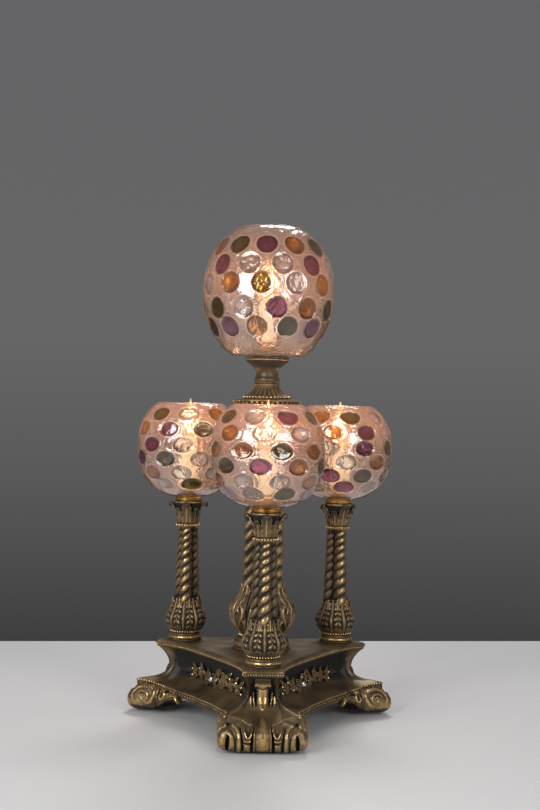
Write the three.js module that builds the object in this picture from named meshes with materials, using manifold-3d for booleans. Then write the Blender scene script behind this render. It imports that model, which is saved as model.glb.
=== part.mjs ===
// Table lamp: a bronzed three-cornered stand, three rope columns around a taller one, and four candle lights
// in glass globes with coin dots. Millimetres, +Z up. The front column stands towards -Y.
import * as THREE from 'three';
import { mergeVertices, toCreasedNormals } from 'three/addons/utils/BufferGeometryUtils.js';
import Module from 'manifold-3d';

const wasm = await Module();
wasm.setup();

// Gaps
const touch = 0.3; // between faces that rest on each other
const rodSlip = 0.4; // around a threaded rod in its holes
const bulbSlip = 0.7; // around a bulb's base in its socket
const sleeveSlip = 0.8; // between a candle sleeve and its socket

// Plan of the lamp
const columnRing = 101.6; // lamp axis to the axis of an outer column
const corners = { front: -90, right: 30, left: 150 }; // directions of the three corners, degrees

// Foot pads of felt
const padRadius = 12;
const padHeight = 2.7;
const padRing = 126; // lamp axis to the middle of a pad

// Scroll feet
const footHeel = 113; // lamp axis to the back of a foot
const footToe = 157; // lamp axis to the toe
const footTop = 38;
const toeDepth = 17; // how far the round toe stands before the foot's straight part
const toeLevel = 18; // height of the toe's foremost line
const strapHalf = 10.5; // half the width of the middle strap
const leafWidth = 7.5;
const scrollWidth = 10.5; // outer scroll
const fluteWidth = 3; // groove between straps
const fluteDepth = 4.5;
const toeBow = 5; // how far the outer scrolls stand behind the middle strap
const scrollRound = 3; // rounded outer edge of a foot, seen from above
const scrollLift = 7; // and how far that edge's underside stands above the foot's
const heelLeafThick = 9; // pair of leaves that trail behind a foot
const heelLeafSpread = 33; // middle of the foot to the middle of such a leaf
const heelLeafLength = 19;
const heelLeafRoot = 6; // how far such a leaf reaches into its foot
const heelLeafLow = 8; // underside of its root
const heelLeafBow = 16; // underside of its middle
const toeSteps = 4;

// Base casting: top slab, waist and skirt, each given by the middle of a side, a corner and its half width
const slabTop = 83;
const slabThick = 8;
const slabSide = 66;
const slabCorner = 129;
const slabCornerHalf = 22;
const slabBend = 4.2; // how late a side turns out towards its corners
const beadInset = 2.5; // top face behind the bead of the slab's edge
const slabLip = 2; // underside behind the slab's widest line
const slabEdge = 3.2; // that line below the top face
const waistHeight = 53;
const waistSide = 55;
const waistCorner = 105;
const waistCornerHalf = 17;
const skirtBottom = 24;
const skirtBand = 8;
const skirtSide = 77;
const skirtCorner = 140;
const skirtCornerHalf = 44;
const skirtSwell = 9; // how far a skirt corner bows out over its foot
const skirtBend = 2.9;
const castingWall = 5;
const slabFloor = 7; // metal left between the hollow and the top face
const hollowCornerHalf = 33; // half the width of the hollow behind a foot
const hollowFlare = 3; // how far the hollow widens again from the waist to its end
const cutPast = 2; // how far a cut runs past the faces that it opens
const nutWellRadius = 10.5; // clear way to each nut from below

// Corner brackets below the slab
const bracketHalf = 11;
const bracketStrapHalf = 6;
const bracketStrapProud = 2.2;
const bracketWaist = 116; // lamp axis to the narrowest part
const bracketFoot = 136;
const bracketSink = 2; // how far a bracket reaches into the slab

// Garland on each side of the waist
const roseRadius = 7.5;
const blossomRadius = 5.2;
const blossoms = 3; // on each side of the rose
const sprayLength = 46;
const sprayFacets = 4;
const sprayLean = 0.08; // how much a spray leans out with the side, radians
const garlandDrop = 3; // middle of a garland below the narrowest line of the waist

// Cord inlet in the rear side
const inletOffset = 36; // beside the middle of the side
const inletHeight = 38;
const inletReach = 80; // face of the boss from the lamp axis
const inletBossRadius = 8.5;
const inletBossSink = 8; // how far the boss reaches into the side of the skirt
const inletRadius = 5;
const bushingFlange = 7;
const bushingFlangeThick = 1.6;
const bushingBore = 3.4;
const bushingLength = 13;

// Threaded rods and their nuts
const rodRadius = 4.8;
const rodDrop = 8; // how far a rod reaches below the slab
const nutAcross = 14.3;
const nutThick = 4;

// Outer columns and the centre column, heights above the slab. Each is a cluster of upright ropes on a ribbed
// vase. A strand is the turn of one rope from one crest to the next.
const outerColumn = {
  footRadius: 18.8, footHeight: 8.5, neckRadius: 16, vaseRadius: 24.8, vaseBelly: 26, vaseTop: 43,
  ropes: 3, facetsPerRope: 6, strands: 9, ropeLow: 16.2, ropeHigh: 12.6, ropeTop: 131,
  beadRadius: 14.2, beadHeight: 5,
};
const centreColumn = {
  footRadius: 32, footHeight: 13, neckRadius: 24, vaseRadius: 38, vaseBelly: 40, vaseTop: 67,
  ropes: 6, facetsPerRope: 4, strands: 7, ropeLow: 24.4, ropeHigh: 23.6, ropeTop: 242,
  beadRadius: 24.6, beadHeight: 7,
};
const columnTurn = { front: 2, right: 22, left: -5 }; // turn of each outer column about itself, degrees
const ribDepth = 0.07; // hollow between two ribs of a vase, share of the radius
const strandDepth = 1.3;
const strandGrowth = 1.7; // lowest strand's height over the highest one's
const coreWall = 1.5; // least metal between the bore and the valleys of the ropes
const footRound = 3; // slope between a column's foot and the neck above it
const shaftHollow = 10.5; // radius of the hollow in the centre column's shaft
const vaseHollow = 30; // and in its vase
const hollowFloor = 8; // metal below that hollow, and above it

// Capitals
const outerCapital = { height: 25.6, footRadius: 11.9, leafRadius: 20.4, topRadius: 16.4 };
const centreCapital = { height: 27, footRadius: 22, leafRadius: 33, topRadius: 27 };
const capitalLeaves = 8;
const leafDroop = 2.2; // how far a leaf's tip hangs below its bend
const abacusThick = 2.3;

// Pedestal of the top globe
const flangeRadius = 39.7;
const flangeHeight = 5.6;
const flangeScallops = 16;
const scallopDepth = 1.4;
const flareFoot = 27.6;
const flareNeck = 13.2;
const flareHeight = 14;
const collarRadius = 14.7;
const collarHeight = 6;
const flareFlutes = 10;
const fluteShare = 0.92; // radius in a flute, share of the radius beside it
const collarRound = 1.2;
const cupNeck = 12.6;
const cupRadius = 24.7;
const cupHeight = 28;
const cupRecess = 5;
const cupRim = 2.5;
const screwRadius = 1.7;
const screwHead = 3.2;
const screwTurn = 135; // direction of the collar screw, degrees

// Cup of the top globe: shares of the way from its neck to its rim, and of its height
const cupProfile = [[0, 0], [0, 0.3], [0.28, 0.5], [0.8, 0.72], [1, 0.86], [1, 1]];

// Candle lights
const seatRadius = 16;
const seatHeight = 4;
const globeNutRadius = 12.5;
const globeNutHeight = 10.4;
const sleeveRadius = 11;
const sleeveWall = 1.2;
const sleeveLength = 46.5;
const socketDrop = 2.5; // socket's mouth below the mouth of the sleeve
const socketDepth = 20; // depth of the bulb's place in the socket
const rodIntoSocket = 7;
const bulbBaseRadius = 6;
const bulbBaseLength = 18.5;
const bulbRadius = 14;
const bulbLength = 55;
const bulbGlass = 1;
const bulbGap = 3; // contact of a bulb above the bottom of its place

// Shares of a bulb's radius and length, and those of its screw base
const bulbProfile = [[0.54, 0], [0.86, 0.24], [1, 0.42], [0.8, 0.66], [0.4, 0.87]];
const bulbBaseProfile = [[0, 0], [0.66, 0.12], [0.87, 0.2], [1, 0.4], [1, 1], [0, 1]];

// Globes, given by height, widest radius and the height of that belly. The rows of dots climb by equal tilts
// about the belly.
const outerGlobe = {
  height: 110, radius: 61.2, belly: 57.7, footRadius: 17, mouthRadius: 38, fullness: 2.4, wall: 3.2,
  dotsAround: 9, dotRows: 6, firstDotTilt: 42, dotTiltStep: 16.7, dotDepth: 1.6,
};
const topGlobe = {
  height: 144.8, radius: 74.7, belly: 72, footRadius: 42, mouthRadius: 38.5, fullness: 2.1, wall: 3.4,
  dotsAround: 12, dotRows: 5, firstDotTilt: 41, dotTiltStep: 18.7, dotDepth: 1.8,
};

const globeHeel = 0.12; // first ring above a globe's foot, share of the belly's height
const innerRings = [0.78, 0.5, 0.2]; // rings of a globe's inner skin, shares of its height
const dotClear = 0.3; // glass kept behind the middle of a dot, besides the wall

// Finishes
const agedBronze = { color: 0x5f4d35, roughness: 0.42, metalness: 0.85 };
const brass = { color: 0xa98545, roughness: 0.3, metalness: 0.95 };
const lustreGlass = { color: 0xdcb9a4, roughness: 0.08, metalness: 0, transparent: true, opacity: 0.45 };
const creamCard = { color: 0xf0e2c4, roughness: 0.6, metalness: 0 };
const clearGlass = { color: 0xfff1d6, roughness: 0.04, metalness: 0, transparent: true, opacity: 0.5 };
const darkPhenolic = { color: 0x2c211b, roughness: 0.5, metalness: 0 };
const greyFelt = { color: 0xb9a79a, roughness: 0.95, metalness: 0 };
const blackRubber = { color: 0x1d1b1a, roughness: 0.7, metalness: 0 };

// Facets around the plain round pieces
const rodFacets = 10;
const nutFacets = 8;
const sleeveFacets = 9;
const socketFacets = 8;
const bulbFacets = 8;
const cupFacets = 12;
const padFacets = 12;
const inletFacets = 10;

const creaseAngle = 32; // edges sharper than this stay crisp in the shading, degrees

const radians = THREE.MathUtils.degToRad;
const mix = THREE.MathUtils.lerp;

// Points shared by neighbouring faces, without the faces that shrank to a line
function welded(geometry) {
  const bare = new THREE.BufferGeometry();
  bare.setAttribute('position', geometry.attributes.position);
  bare.setIndex(geometry.index);
  const merged = mergeVertices(bare, 1e-4);
  const source = merged.index.array;
  const kept = [];
  for (let at = 0; at < source.length; at += 3) {
    const [a, b, c] = source.slice(at, at + 3);
    if (a !== b && b !== c && c !== a) kept.push(a, b, c);
  }
  merged.setIndex(kept);
  return merged;
}

function solid(geometry) {
  const clean = welded(geometry);
  return new wasm.Manifold(new wasm.Mesh({
    numProp: 3,
    vertProperties: new Float32Array(clean.attributes.position.array),
    triVerts: new Uint32Array(clean.index.array),
  }));
}

function surface(body) {
  const mesh = body.getMesh();
  const geometry = new THREE.BufferGeometry();
  geometry.setAttribute('position', new THREE.BufferAttribute(new Float32Array(mesh.vertProperties), 3));
  geometry.setIndex(Array.from(mesh.triVerts));
  return geometry;
}

function joined(first, ...others) {
  return surface(others.reduce((whole, other) => whole.add(solid(other)), solid(first)));
}

function cut(body, ...tools) {
  return surface(tools.reduce((whole, tool) => whole.subtract(solid(tool)), solid(body)));
}

// A body turned about +Z from rows that close on themselves. A row may carve its points, column by column,
// and may lean the faces above it the other way.
function turned(rows, facets) {
  const loop = [...rows, rows[0]];
  const lathe = new THREE.LatheGeometry(loop.map((row) => new THREE.Vector2(row.radius, row.height)), facets);
  const position = lathe.attributes.position;
  const faces = [];
  for (let column = 0; column <= facets; column += 1) {
    loop.forEach((row, line) => {
      const spot = { turn: 0, radius: row.radius, height: row.height };
      if (row.carve) Object.assign(spot, row.carve(column % facets));
      const angle = (((column + spot.turn) % facets) / facets) * 2 * Math.PI;
      const at = column * loop.length + line;
      position.setXYZ(at, spot.radius * Math.sin(angle), -spot.radius * Math.cos(angle), spot.height);
      if (column === facets || line === rows.length) return;
      const [a, b, c, d] = [at, at + loop.length, at + loop.length + 1, at + 1];
      if (row.lean && row.lean(column)) faces.push(a, b, c, a, c, d);
      else faces.push(a, b, d, c, d, b);
    });
  }
  lathe.setIndex(faces);
  return welded(lathe);
}

// Plain rows from pairs of radius and height
function rowsOf(pairs) {
  return pairs.map(([radius, height]) => ({ radius, height }));
}

// A skin over rings of equally many points, closed by a fan at both ends
function lofted(rings) {
  const count = rings[0].length;
  const points = rings.flat();
  const faces = [];
  for (let ring = 0; ring + 1 < rings.length; ring += 1) {
    for (let at = 0; at < count; at += 1) {
      const a = ring * count + at;
      const b = ring * count + ((at + 1) % count);
      faces.push(a, b, b + count, a, b + count, a + count);
    }
  }
  const middle = (ring) => ring
    .reduce((sum, point) => sum.add(point), new THREE.Vector3())
    .divideScalar(count);
  points.push(middle(rings[0]), middle(rings[rings.length - 1]));
  const last = (rings.length - 1) * count;
  for (let at = 0; at < count; at += 1) {
    const next = (at + 1) % count;
    faces.push(points.length - 2, next, at);
    faces.push(points.length - 1, last + at, last + next);
  }
  const geometry = new THREE.BufferGeometry().setFromPoints(points);
  geometry.setIndex(faces);
  return geometry;
}

// An upright post at a place of the plan
function post(radius, low, high, x, y, facets = rodFacets) {
  const geometry = new THREE.CylinderGeometry(radius, radius, high - low, facets);
  geometry.rotateX(Math.PI / 2);
  geometry.translate(x, y, (low + high) / 2);
  return geometry;
}

function around(ring, turn) {
  return [ring * Math.cos(radians(turn)), ring * Math.sin(radians(turn))];
}

// A flat outline of distance from the lamp axis and height, given a width and turned to a corner
function cheek(outline, width, offset, turn) {
  const shape = new THREE.Shape(outline.map(([out, height]) => new THREE.Vector2(out, height)));
  const geometry = new THREE.ExtrudeGeometry(shape, { depth: width, bevelEnabled: false });
  geometry.translate(0, 0, -width / 2);
  geometry.rotateX(Math.PI / 2);
  geometry.translate(0, offset, 0);
  geometry.rotateZ(radians(turn));
  return geometry;
}

// Base casting

const slabLevel = { side: slabSide, corner: slabCorner, half: slabCornerHalf, swell: 0, bend: slabBend };
const waistLevel = { side: waistSide, corner: waistCorner, half: waistCornerHalf, swell: 0, bend: slabBend };
const skirtLevel = {
  side: skirtSide, corner: skirtCorner, half: skirtCornerHalf, swell: skirtSwell, bend: skirtBend,
};

function between(low, high, share, height) {
  const level = { height };
  for (const key of Object.keys(low)) level[key] = mix(low[key], high[key], share);
  return level;
}

function inset(level, by, height) {
  return { ...level, height, side: level.side - by, corner: level.corner - by, half: level.half - by / 2 };
}

// Outline of the base at one level: three corners, each followed by a concave side
function baseRing(level, steps = 6) {
  const points = [];
  const cosine = Math.cos(Math.PI / 3);
  const sine = Math.sin(Math.PI / 3);
  const reach = level.corner * cosine + level.half * sine;
  const run = level.corner * sine - level.half * cosine;
  for (const turn of [-90, 30, 150]) {
    const place = (out, along, way) => {
      const [x, y] = around(out, way);
      const [dx, dy] = around(along, way + 90);
      points.push(new THREE.Vector3(x + dx, y + dy, level.height));
    };
    place(level.corner, -level.half, turn);
    place(level.corner + level.swell, 0, turn);
    place(level.corner, level.half, turn);
    for (let step = 1; step < steps; step += 1) {
      const share = (2 * step) / steps - 1;
      place(mix(level.side, reach, Math.abs(share) ** level.bend), run * share, turn + 60);
    }
  }
  return points;
}

// Levels from the skirt's lower edge up to the top face
function baseLevels() {
  const skirtTop = skirtBottom + skirtBand;
  const slabBottom = slabTop - slabThick;
  const levels = [{ ...skirtLevel, height: skirtBottom }, inset(skirtLevel, 1, skirtTop)];
  for (const share of [0.45, 1]) {
    const rise = Math.sin((share * Math.PI) / 2);
    levels.push(between(skirtLevel, waistLevel, rise, mix(skirtTop, waistHeight, share)));
  }
  levels.push(between(waistLevel, slabLevel, 0.3, mix(waistHeight, slabBottom, 0.6)));
  levels.push(inset(slabLevel, slabLip, slabBottom), { ...slabLevel, height: slabTop - slabEdge },
    inset(slabLevel, beadInset, slabTop));
  return levels;
}

// Hollow under the base, which stops short of the feet
function baseHollow() {
  const mouth = {
    side: skirtSide - castingWall,
    corner: footHeel - touch,
    half: hollowCornerHalf,
    swell: 0,
    bend: skirtBend,
  };
  const levels = [
    { ...mouth, height: skirtBottom - cutPast },
    { ...mouth, height: skirtBottom + skirtBand / 2 },
    inset(waistLevel, castingWall, waistHeight),
    inset(waistLevel, castingWall - hollowFlare, slabTop - slabFloor),
  ];
  return lofted(levels.map((level) => baseRing(level, 4)));
}

// Section of a foot at an offset from its middle: a round toe before a straight heel, with the toe drawn back
// and the underside lifted by so much
function footSection({ offset, back, lift }, turn) {
  const points = [];
  const middle = footToe - toeDepth;
  const low = padHeight + touch + lift;
  const place = (out, height) => {
    const [x, y] = around(out, turn);
    const [dx, dy] = around(offset, turn + 90);
    points.push(new THREE.Vector3(x + dx, y + dy, height));
  };
  place(footHeel, low);
  for (let step = 0; step <= toeSteps; step += 1) {
    const angle = mix(-Math.PI / 2, Math.PI / 2, step / toeSteps);
    const tall = angle < 0 ? toeLevel - low : footTop - toeLevel - back;
    place(middle + (toeDepth - back) * Math.cos(angle), toeLevel + tall * Math.sin(angle));
  }
  place(footHeel, footTop);
  return points;
}

// A foot from side to side: middle strap, two leaves and a scroll on each side, with flutes between them
function foot(turn) {
  const half = strapHalf + 2 * leafWidth + 3 * fluteWidth + scrollWidth;
  const bow = (offset) => toeBow * (offset / half) ** 2;
  const stations = [];
  const station = (offset, back = 0, lift = 0) => stations.push({ offset, back: back + bow(offset), lift });
  station(strapHalf);
  let edge = strapHalf;
  for (let leaf = 0; leaf < 2; leaf += 1) {
    station(edge + fluteWidth / 2, fluteDepth);
    station(edge + fluteWidth + leafWidth / 2);
    edge += fluteWidth + leafWidth;
  }
  station(edge + fluteWidth / 2, fluteDepth);
  station(half - scrollWidth * 0.6, 0, scrollLift * 0.15);
  station(half, scrollRound, scrollLift);
  const mirrored = stations.map((side) => ({ ...side, offset: -side.offset })).reverse();
  return lofted([...stations.reverse(), ...mirrored.reverse()].map((side) => footSection(side, turn)));
}

// The two leaves that trail behind a foot, under the skirt
function heelLeaves(turn) {
  const tip = footHeel - heelLeafLength;
  const root = footHeel + heelLeafRoot;
  const outline = [
    [root, heelLeafLow], [footHeel - 3, heelLeafLow + 2], [mix(footHeel, tip, 0.5), heelLeafBow],
    [tip, skirtBottom - 1.5], [tip + 2, skirtBottom + heelLeafRoot], [root, skirtBottom + skirtBand],
  ];
  return [-heelLeafSpread, heelLeafSpread].map((offset) => cheek(outline, heelLeafThick, offset, turn));
}

// Bracket between the slab's corner and its foot, with a strap down its middle
function bracket(turn) {
  const top = slabTop - slabThick + bracketSink;
  const drop = top - skirtBottom - skirtBand;
  const outline = (proud) => [[columnRing, top], [slabCorner - 6 + proud, top],
    [bracketWaist + proud, top - 0.4 * drop], [bracketWaist + 2 + proud, top - 0.65 * drop],
    [bracketFoot + proud, top - drop], [columnRing, top - drop]];
  return [bracketHalf, bracketStrapHalf].map(
    (half, strap) => cheek(outline(strap * bracketStrapProud), half * 2, 0, turn),
  );
}

// Rose on one side of the waist, and a tapering spray of blossoms to either side of it
function garland(turn) {
  const height = waistHeight - garlandDrop;
  const rose = new THREE.IcosahedronGeometry(roseRadius, 0);
  rose.translate(waistSide + roseRadius * 0.3, 0, height);
  const profile = [new THREE.Vector2(0, 0)];
  for (let blossom = 0; blossom < blossoms; blossom += 1) {
    const radius = blossomRadius * (1 - (0.5 * blossom) / blossoms);
    const step = sprayLength / blossoms;
    profile.push(new THREE.Vector2(radius, step * (blossom + 0.5)));
    profile.push(new THREE.Vector2(radius * 0.55, step * (blossom + 1)));
  }
  profile.push(new THREE.Vector2(0, sprayLength + blossomRadius));
  const sprays = [-1, 1].map((way) => {
    const spray = new THREE.LatheGeometry(profile, sprayFacets);
    if (way < 0) spray.rotateX(Math.PI);
    spray.rotateZ(-way * sprayLean);
    spray.translate(waistSide + 0.5, 0, height);
    return spray;
  });
  return [rose, ...sprays].map((bead) => bead.rotateZ(radians(turn)));
}

// A round bar that lies square to the rear side at the cord inlet
function inletBar(radius, near, far) {
  const bar = post(radius, near, far, 0, 0, inletFacets);
  bar.rotateX(-Math.PI / 2);
  bar.translate(-inletOffset, 0, inletHeight);
  return bar;
}

function baseCasting() {
  const turns = Object.values(corners);
  const additions = turns.flatMap((turn) => [
    foot(turn), ...heelLeaves(turn), ...bracket(turn), ...garland(turn + 60),
  ]);
  const inner = skirtSide - inletBossSink;
  const body = lofted(baseLevels().map((level) => baseRing(level)));
  const cast = joined(body, ...additions, inletBar(inletBossRadius, inner, inletReach));
  const hollowTop = slabTop - slabFloor;
  const wells = turns.map(
    (turn) => post(nutWellRadius, skirtBottom - cutPast, hollowTop, ...around(columnRing, turn), nutFacets),
  );
  const holes = [[0, 0], ...turns.map((turn) => around(columnRing, turn))].map(
    ([x, y]) => post(rodRadius + rodSlip, hollowTop - cutPast, slabTop + cutPast, x, y),
  );
  const inlet = inletBar(inletRadius, inner - inletBossSink, inletReach + cutPast);
  return cut(cast, baseHollow(), ...wells, ...holes, inlet);
}

function cordBushing() {
  const body = inletBar(inletRadius - touch, inletReach - bushingLength, inletReach + touch);
  const flange = inletBar(bushingFlange, inletReach + touch, inletReach + touch + bushingFlangeThick);
  const far = inletReach + touch + bushingFlangeThick + cutPast;
  const bore = inletBar(bushingBore, inletReach - bushingLength - cutPast, far);
  return cut(joined(body, flange), bore);
}

// Rods, nuts and washers

function threadedRod(low, high) {
  return post(rodRadius, low, high, 0, 0);
}

function hexNut(low) {
  const bore = (rodRadius + rodSlip) / Math.cos(Math.PI / 6);
  const corner = nutAcross / Math.sqrt(3);
  return turned(rowsOf([[bore, low], [corner, low], [corner, low + nutThick], [bore, low + nutThick]]), 6);
}

// Columns

const boreRadius = rodRadius + rodSlip;

// Smooth ribs with hollows between them
function ribbed(radius, height) {
  const hollow = radius * (1 - ribDepth);
  return { radius, height, carve: (column) => ({ radius: column % 2 === 0 ? radius : hollow }) };
}

// Distance from the axis over a cluster of touching round ropes, at an angle from the middle of the nearest
// rope, as a share of the full radius
function clusterShare(ropes, angle) {
  const rope = Math.sin(Math.PI / ropes) / (1 + Math.sin(Math.PI / ropes));
  const middle = 1 - rope;
  const rise = rope ** 2 - (middle * Math.sin(angle)) ** 2;
  return middle * Math.cos(angle) + Math.sqrt(Math.max(0, rise));
}

// Height of a line of the ropes. Their strands are taller the lower they lie.
function strandHeight(size, line) {
  const share = line / (size.strands * 2);
  const climb = strandGrowth * share - ((strandGrowth - 1) * share ** 2) / 2;
  return mix(size.vaseTop, size.ropeTop, climb / ((strandGrowth + 1) / 2));
}

// One line of the ropes. Lines lie half a strand apart. Across each rope, from valley to valley, a crest
// climbs one line for every two columns, and every second column is set half a line higher, so that the faces
// follow the slanting strands.
function roped(size, line, hollow) {
  const facets = size.facetsPerRope;
  const step = (2 * Math.PI) / (size.ropes * facets);
  const height = strandHeight(size, line);
  const half = (strandHeight(size, line + 1) - height) / 2;
  const full = mix(size.ropeLow, size.ropeHigh, line / (size.strands * 2));
  const fromValley = (column) => (column + facets / 2) % facets;
  return {
    radius: full,
    height,
    carve: (column) => {
      const place = fromValley(column);
      const crest = (line - Math.floor(place / 2)) % 2 === 0 ? full : full - strandDepth;
      const radius = crest * clusterShare(size.ropes, Math.abs(place - facets / 2) * step);
      return { radius: Math.max(radius, hollow + coreWall), height: height + (place % 2) * half };
    },
    lean: (column) => fromValley(column) % 2 === 1,
  };
}

// Turned foot and ribbed vase, then the ropes, then a beaded ring. The centre column is cast hollow.
function ropeColumn(size, hollow = boreRadius) {
  const { footRadius, footHeight, neckRadius, vaseRadius, vaseBelly, vaseTop, ropeTop, beadHeight } = size;
  const rows = rowsOf([
    [boreRadius, 0], [footRadius, 0], [footRadius, footHeight - footRound], [neckRadius, footHeight],
  ]);
  for (const share of [0.4, 1]) {
    const swell = Math.sin((share * Math.PI) / 2);
    rows.push(ribbed(mix(neckRadius, vaseRadius, swell), mix(footHeight, vaseBelly, share)));
  }
  for (const share of [0.45, 0.8]) {
    const draw = (1 - Math.cos(share * Math.PI)) / 2;
    rows.push(ribbed(mix(vaseRadius, size.ropeLow, draw), mix(vaseBelly, vaseTop, share)));
  }
  for (let line = 0; line < size.strands * 2; line += 1) rows.push(roped(size, line, hollow));
  const top = ropeTop + beadHeight;
  rows.push(...rowsOf([[size.ropeHigh * 0.9, ropeTop + 0.5], [size.beadRadius, ropeTop + beadHeight * 0.4],
    [size.ropeHigh * 0.92, top], [boreRadius, top]]));
  if (hollow > boreRadius) {
    rows.push(...rowsOf([[hollow, top - hollowFloor], [hollow, vaseTop], [vaseHollow, vaseBelly],
      [boreRadius, hollowFloor]]));
  }
  return turned(rows, size.ropes * size.facetsPerRope);
}

function columnHeight(size) {
  return size.ropeTop + size.beadHeight;
}

// Eight leaves that lean out and hook over below the abacus
function capital(size) {
  const leafy = (share, spread, droop) => {
    const radius = mix(size.footRadius, size.leafRadius, spread);
    const height = size.height * share;
    return {
      radius,
      height,
      carve: (column) => (column % 2 === 0
        ? { radius, height: height - droop }
        : { radius: mix(size.footRadius, radius, 0.55), height }),
    };
  };
  const rows = rowsOf([[boreRadius, 0], [size.footRadius, 0]]);
  rows.push(leafy(0.45, 0.25, 0), leafy(0.82, 1, leafDroop));
  rows.push(...rowsOf([[size.topRadius, size.height - abacusThick], [size.topRadius, size.height],
    [boreRadius, size.height]]));
  return turned(rows, capitalLeaves * 2);
}

// Pedestal

function scallopedFlange() {
  const facets = flangeScallops * 2;
  const scalloped = (radius, height) => ({
    radius, height, carve: (column) => ({ radius: column % 2 === 0 ? radius : radius - scallopDepth }),
  });
  const rows = rowsOf([[boreRadius, 0]]);
  rows.push(scalloped(flangeRadius - 4, 0), scalloped(flangeRadius, flangeHeight * 0.5));
  rows.push(...rowsOf([[flareFoot + 1, flangeHeight], [boreRadius, flangeHeight]]));
  return turned(rows, facets);
}

function flutedFlare() {
  const facets = flareFlutes * 2;
  const fluted = (radius, height) => ({
    radius, height, carve: (column) => ({ radius: column % 2 === 0 ? radius : radius * fluteShare }),
  });
  const collar = flareHeight + collarHeight;
  const rows = rowsOf([[boreRadius, 0], [flareFoot, 0]]);
  rows.push(fluted(flareFoot - 1, flareHeight * 0.2));
  rows.push(fluted(mix(flareNeck, flareFoot, 0.35), flareHeight * 0.6));
  rows.push(...rowsOf([[flareNeck, flareHeight], [collarRadius, flareHeight + collarRound],
    [collarRadius, collar - collarRound], [flareNeck, collar], [boreRadius, collar]]));
  return turned(rows, facets);
}

function globeCup() {
  const outside = cupProfile.map(([out, up]) => [mix(cupNeck, cupRadius, out), cupHeight * up]);
  const rows = rowsOf([[boreRadius, 0], ...outside, [cupRadius - cupRim, cupHeight],
    [cupRadius - 2 * cupRim, cupHeight - cupRecess], [boreRadius, cupHeight - cupRecess]]);
  return turned(rows, cupFacets);
}

function collarScrew(level) {
  const start = collarRadius + touch;
  const screw = post(screwRadius, start, start + screwHead, 0, 0);
  screw.rotateY(Math.PI / 2);
  screw.translate(0, 0, level);
  screw.rotateZ(radians(screwTurn));
  return screw;
}

// Globes

// Radius of a globe at a height: a full round above and below its belly, cut off at foot and mouth
function globeRadius(size, height) {
  const above = height > size.belly;
  const end = above ? size.mouthRadius : size.footRadius;
  const span = above ? size.height - size.belly : size.belly;
  const drop = (1 - (end / size.radius) ** size.fullness) ** (1 / size.fullness);
  const share = Math.min(1, (Math.abs(height - size.belly) / span) * drop);
  return size.radius * (1 - share ** size.fullness) ** (1 / size.fullness);
}

// Height on a globe for a tilt above or below its belly, degrees
function globeHeight(size, tilt) {
  const reach = tilt > 0 ? size.height - size.belly : size.belly;
  const full = Math.max(reach, size.radius);
  return size.belly + full * Math.sin(radians(tilt));
}

// Coin dots: staggered rows of hexagons, each with its middle pressed in
function dottedGlobe(size) {
  const facets = size.dotsAround * 2;
  const heel = size.belly * globeHeel;
  const rows = rowsOf([[boreRadius, 0], [size.footRadius, 0], [globeRadius(size, heel), heel]]);
  const tilts = [];
  for (let line = size.dotRows - 1; line >= 0; line -= 1) {
    tilts.push(size.firstDotTilt - size.dotTiltStep * line);
  }
  tilts.forEach((tilt, line) => {
    const height = globeHeight(size, tilt);
    const radius = globeRadius(size, height);
    const pressed = { radius: radius - size.dotDepth };
    rows.push({ radius, height, carve: (column) => ((column + line) % 2 === 0 ? pressed : {}) });
    const upper = globeHeight(size, tilt + size.dotTiltStep / 2);
    rows.push({
      radius: globeRadius(size, upper),
      height: upper,
      carve: () => ({ turn: 0.5 }),
      lean: () => true,
    });
  });
  rows.push(...rowsOf([[size.mouthRadius, size.height], [size.mouthRadius - size.wall, size.height]]));
  for (const share of innerRings) {
    const height = size.height * share;
    rows.push({ radius: globeRadius(size, height) - size.wall - dotClear, height });
  }
  rows.push(...rowsOf([[size.footRadius - 1, size.wall], [boreRadius, size.wall]]));
  return turned(rows, facets);
}

// Candle lights

function globeSeat() {
  const rows = [[boreRadius, 0], [seatRadius - 1, 0], [seatRadius, seatHeight], [boreRadius, seatHeight]];
  return turned(rowsOf(rows), sleeveFacets);
}

function globeNut() {
  return turned(rowsOf([[boreRadius, 0], [globeNutRadius, 0], [globeNutRadius, globeNutHeight * 0.4],
    [globeNutRadius - 1, globeNutHeight], [boreRadius, globeNutHeight]]), nutFacets);
}

// Socket: rod below and the bulb's place above
function socket() {
  const outer = sleeveRadius - sleeveWall - sleeveSlip;
  const top = sleeveLength - socketDrop;
  const inner = bulbBaseRadius + bulbSlip;
  return turned(rowsOf([[boreRadius, 0], [outer, 0], [outer, top], [inner, top], [inner, top - socketDepth],
    [boreRadius, top - socketDepth - 1]]), socketFacets);
}

function candleSleeve() {
  return turned(rowsOf([[sleeveRadius - sleeveWall, 0], [sleeveRadius, 0], [sleeveRadius, sleeveLength],
    [sleeveRadius - sleeveWall, sleeveLength]]), sleeveFacets);
}

// A body turned from a profile that starts and ends on the axis or closes on itself
function spindle(profile, facets) {
  const points = profile.map(([radius, height]) => new THREE.Vector2(radius, height));
  const lathe = new THREE.LatheGeometry(points, facets);
  lathe.rotateX(Math.PI / 2);
  return welded(lathe);
}

// Screw base of a bulb, with its contact below
function bulbBase() {
  return spindle(bulbBaseProfile.map(([out, up]) => [out * bulbBaseRadius, up * bulbBaseLength]), bulbFacets);
}

// Flame-shaped bulb, open below where its base closes it
function bulbEnvelope() {
  const outside = bulbProfile.map(([out, up]) => [out * bulbRadius, up * bulbLength]);
  const inside = outside.map(([radius, height]) => [radius - bulbGlass, height]).reverse();
  const tip = [[0, bulbLength], [0, bulbLength - bulbGlass * 3]];
  return spindle([inside[inside.length - 1], ...outside, ...tip, ...inside], bulbFacets);
}

// Assembly

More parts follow.
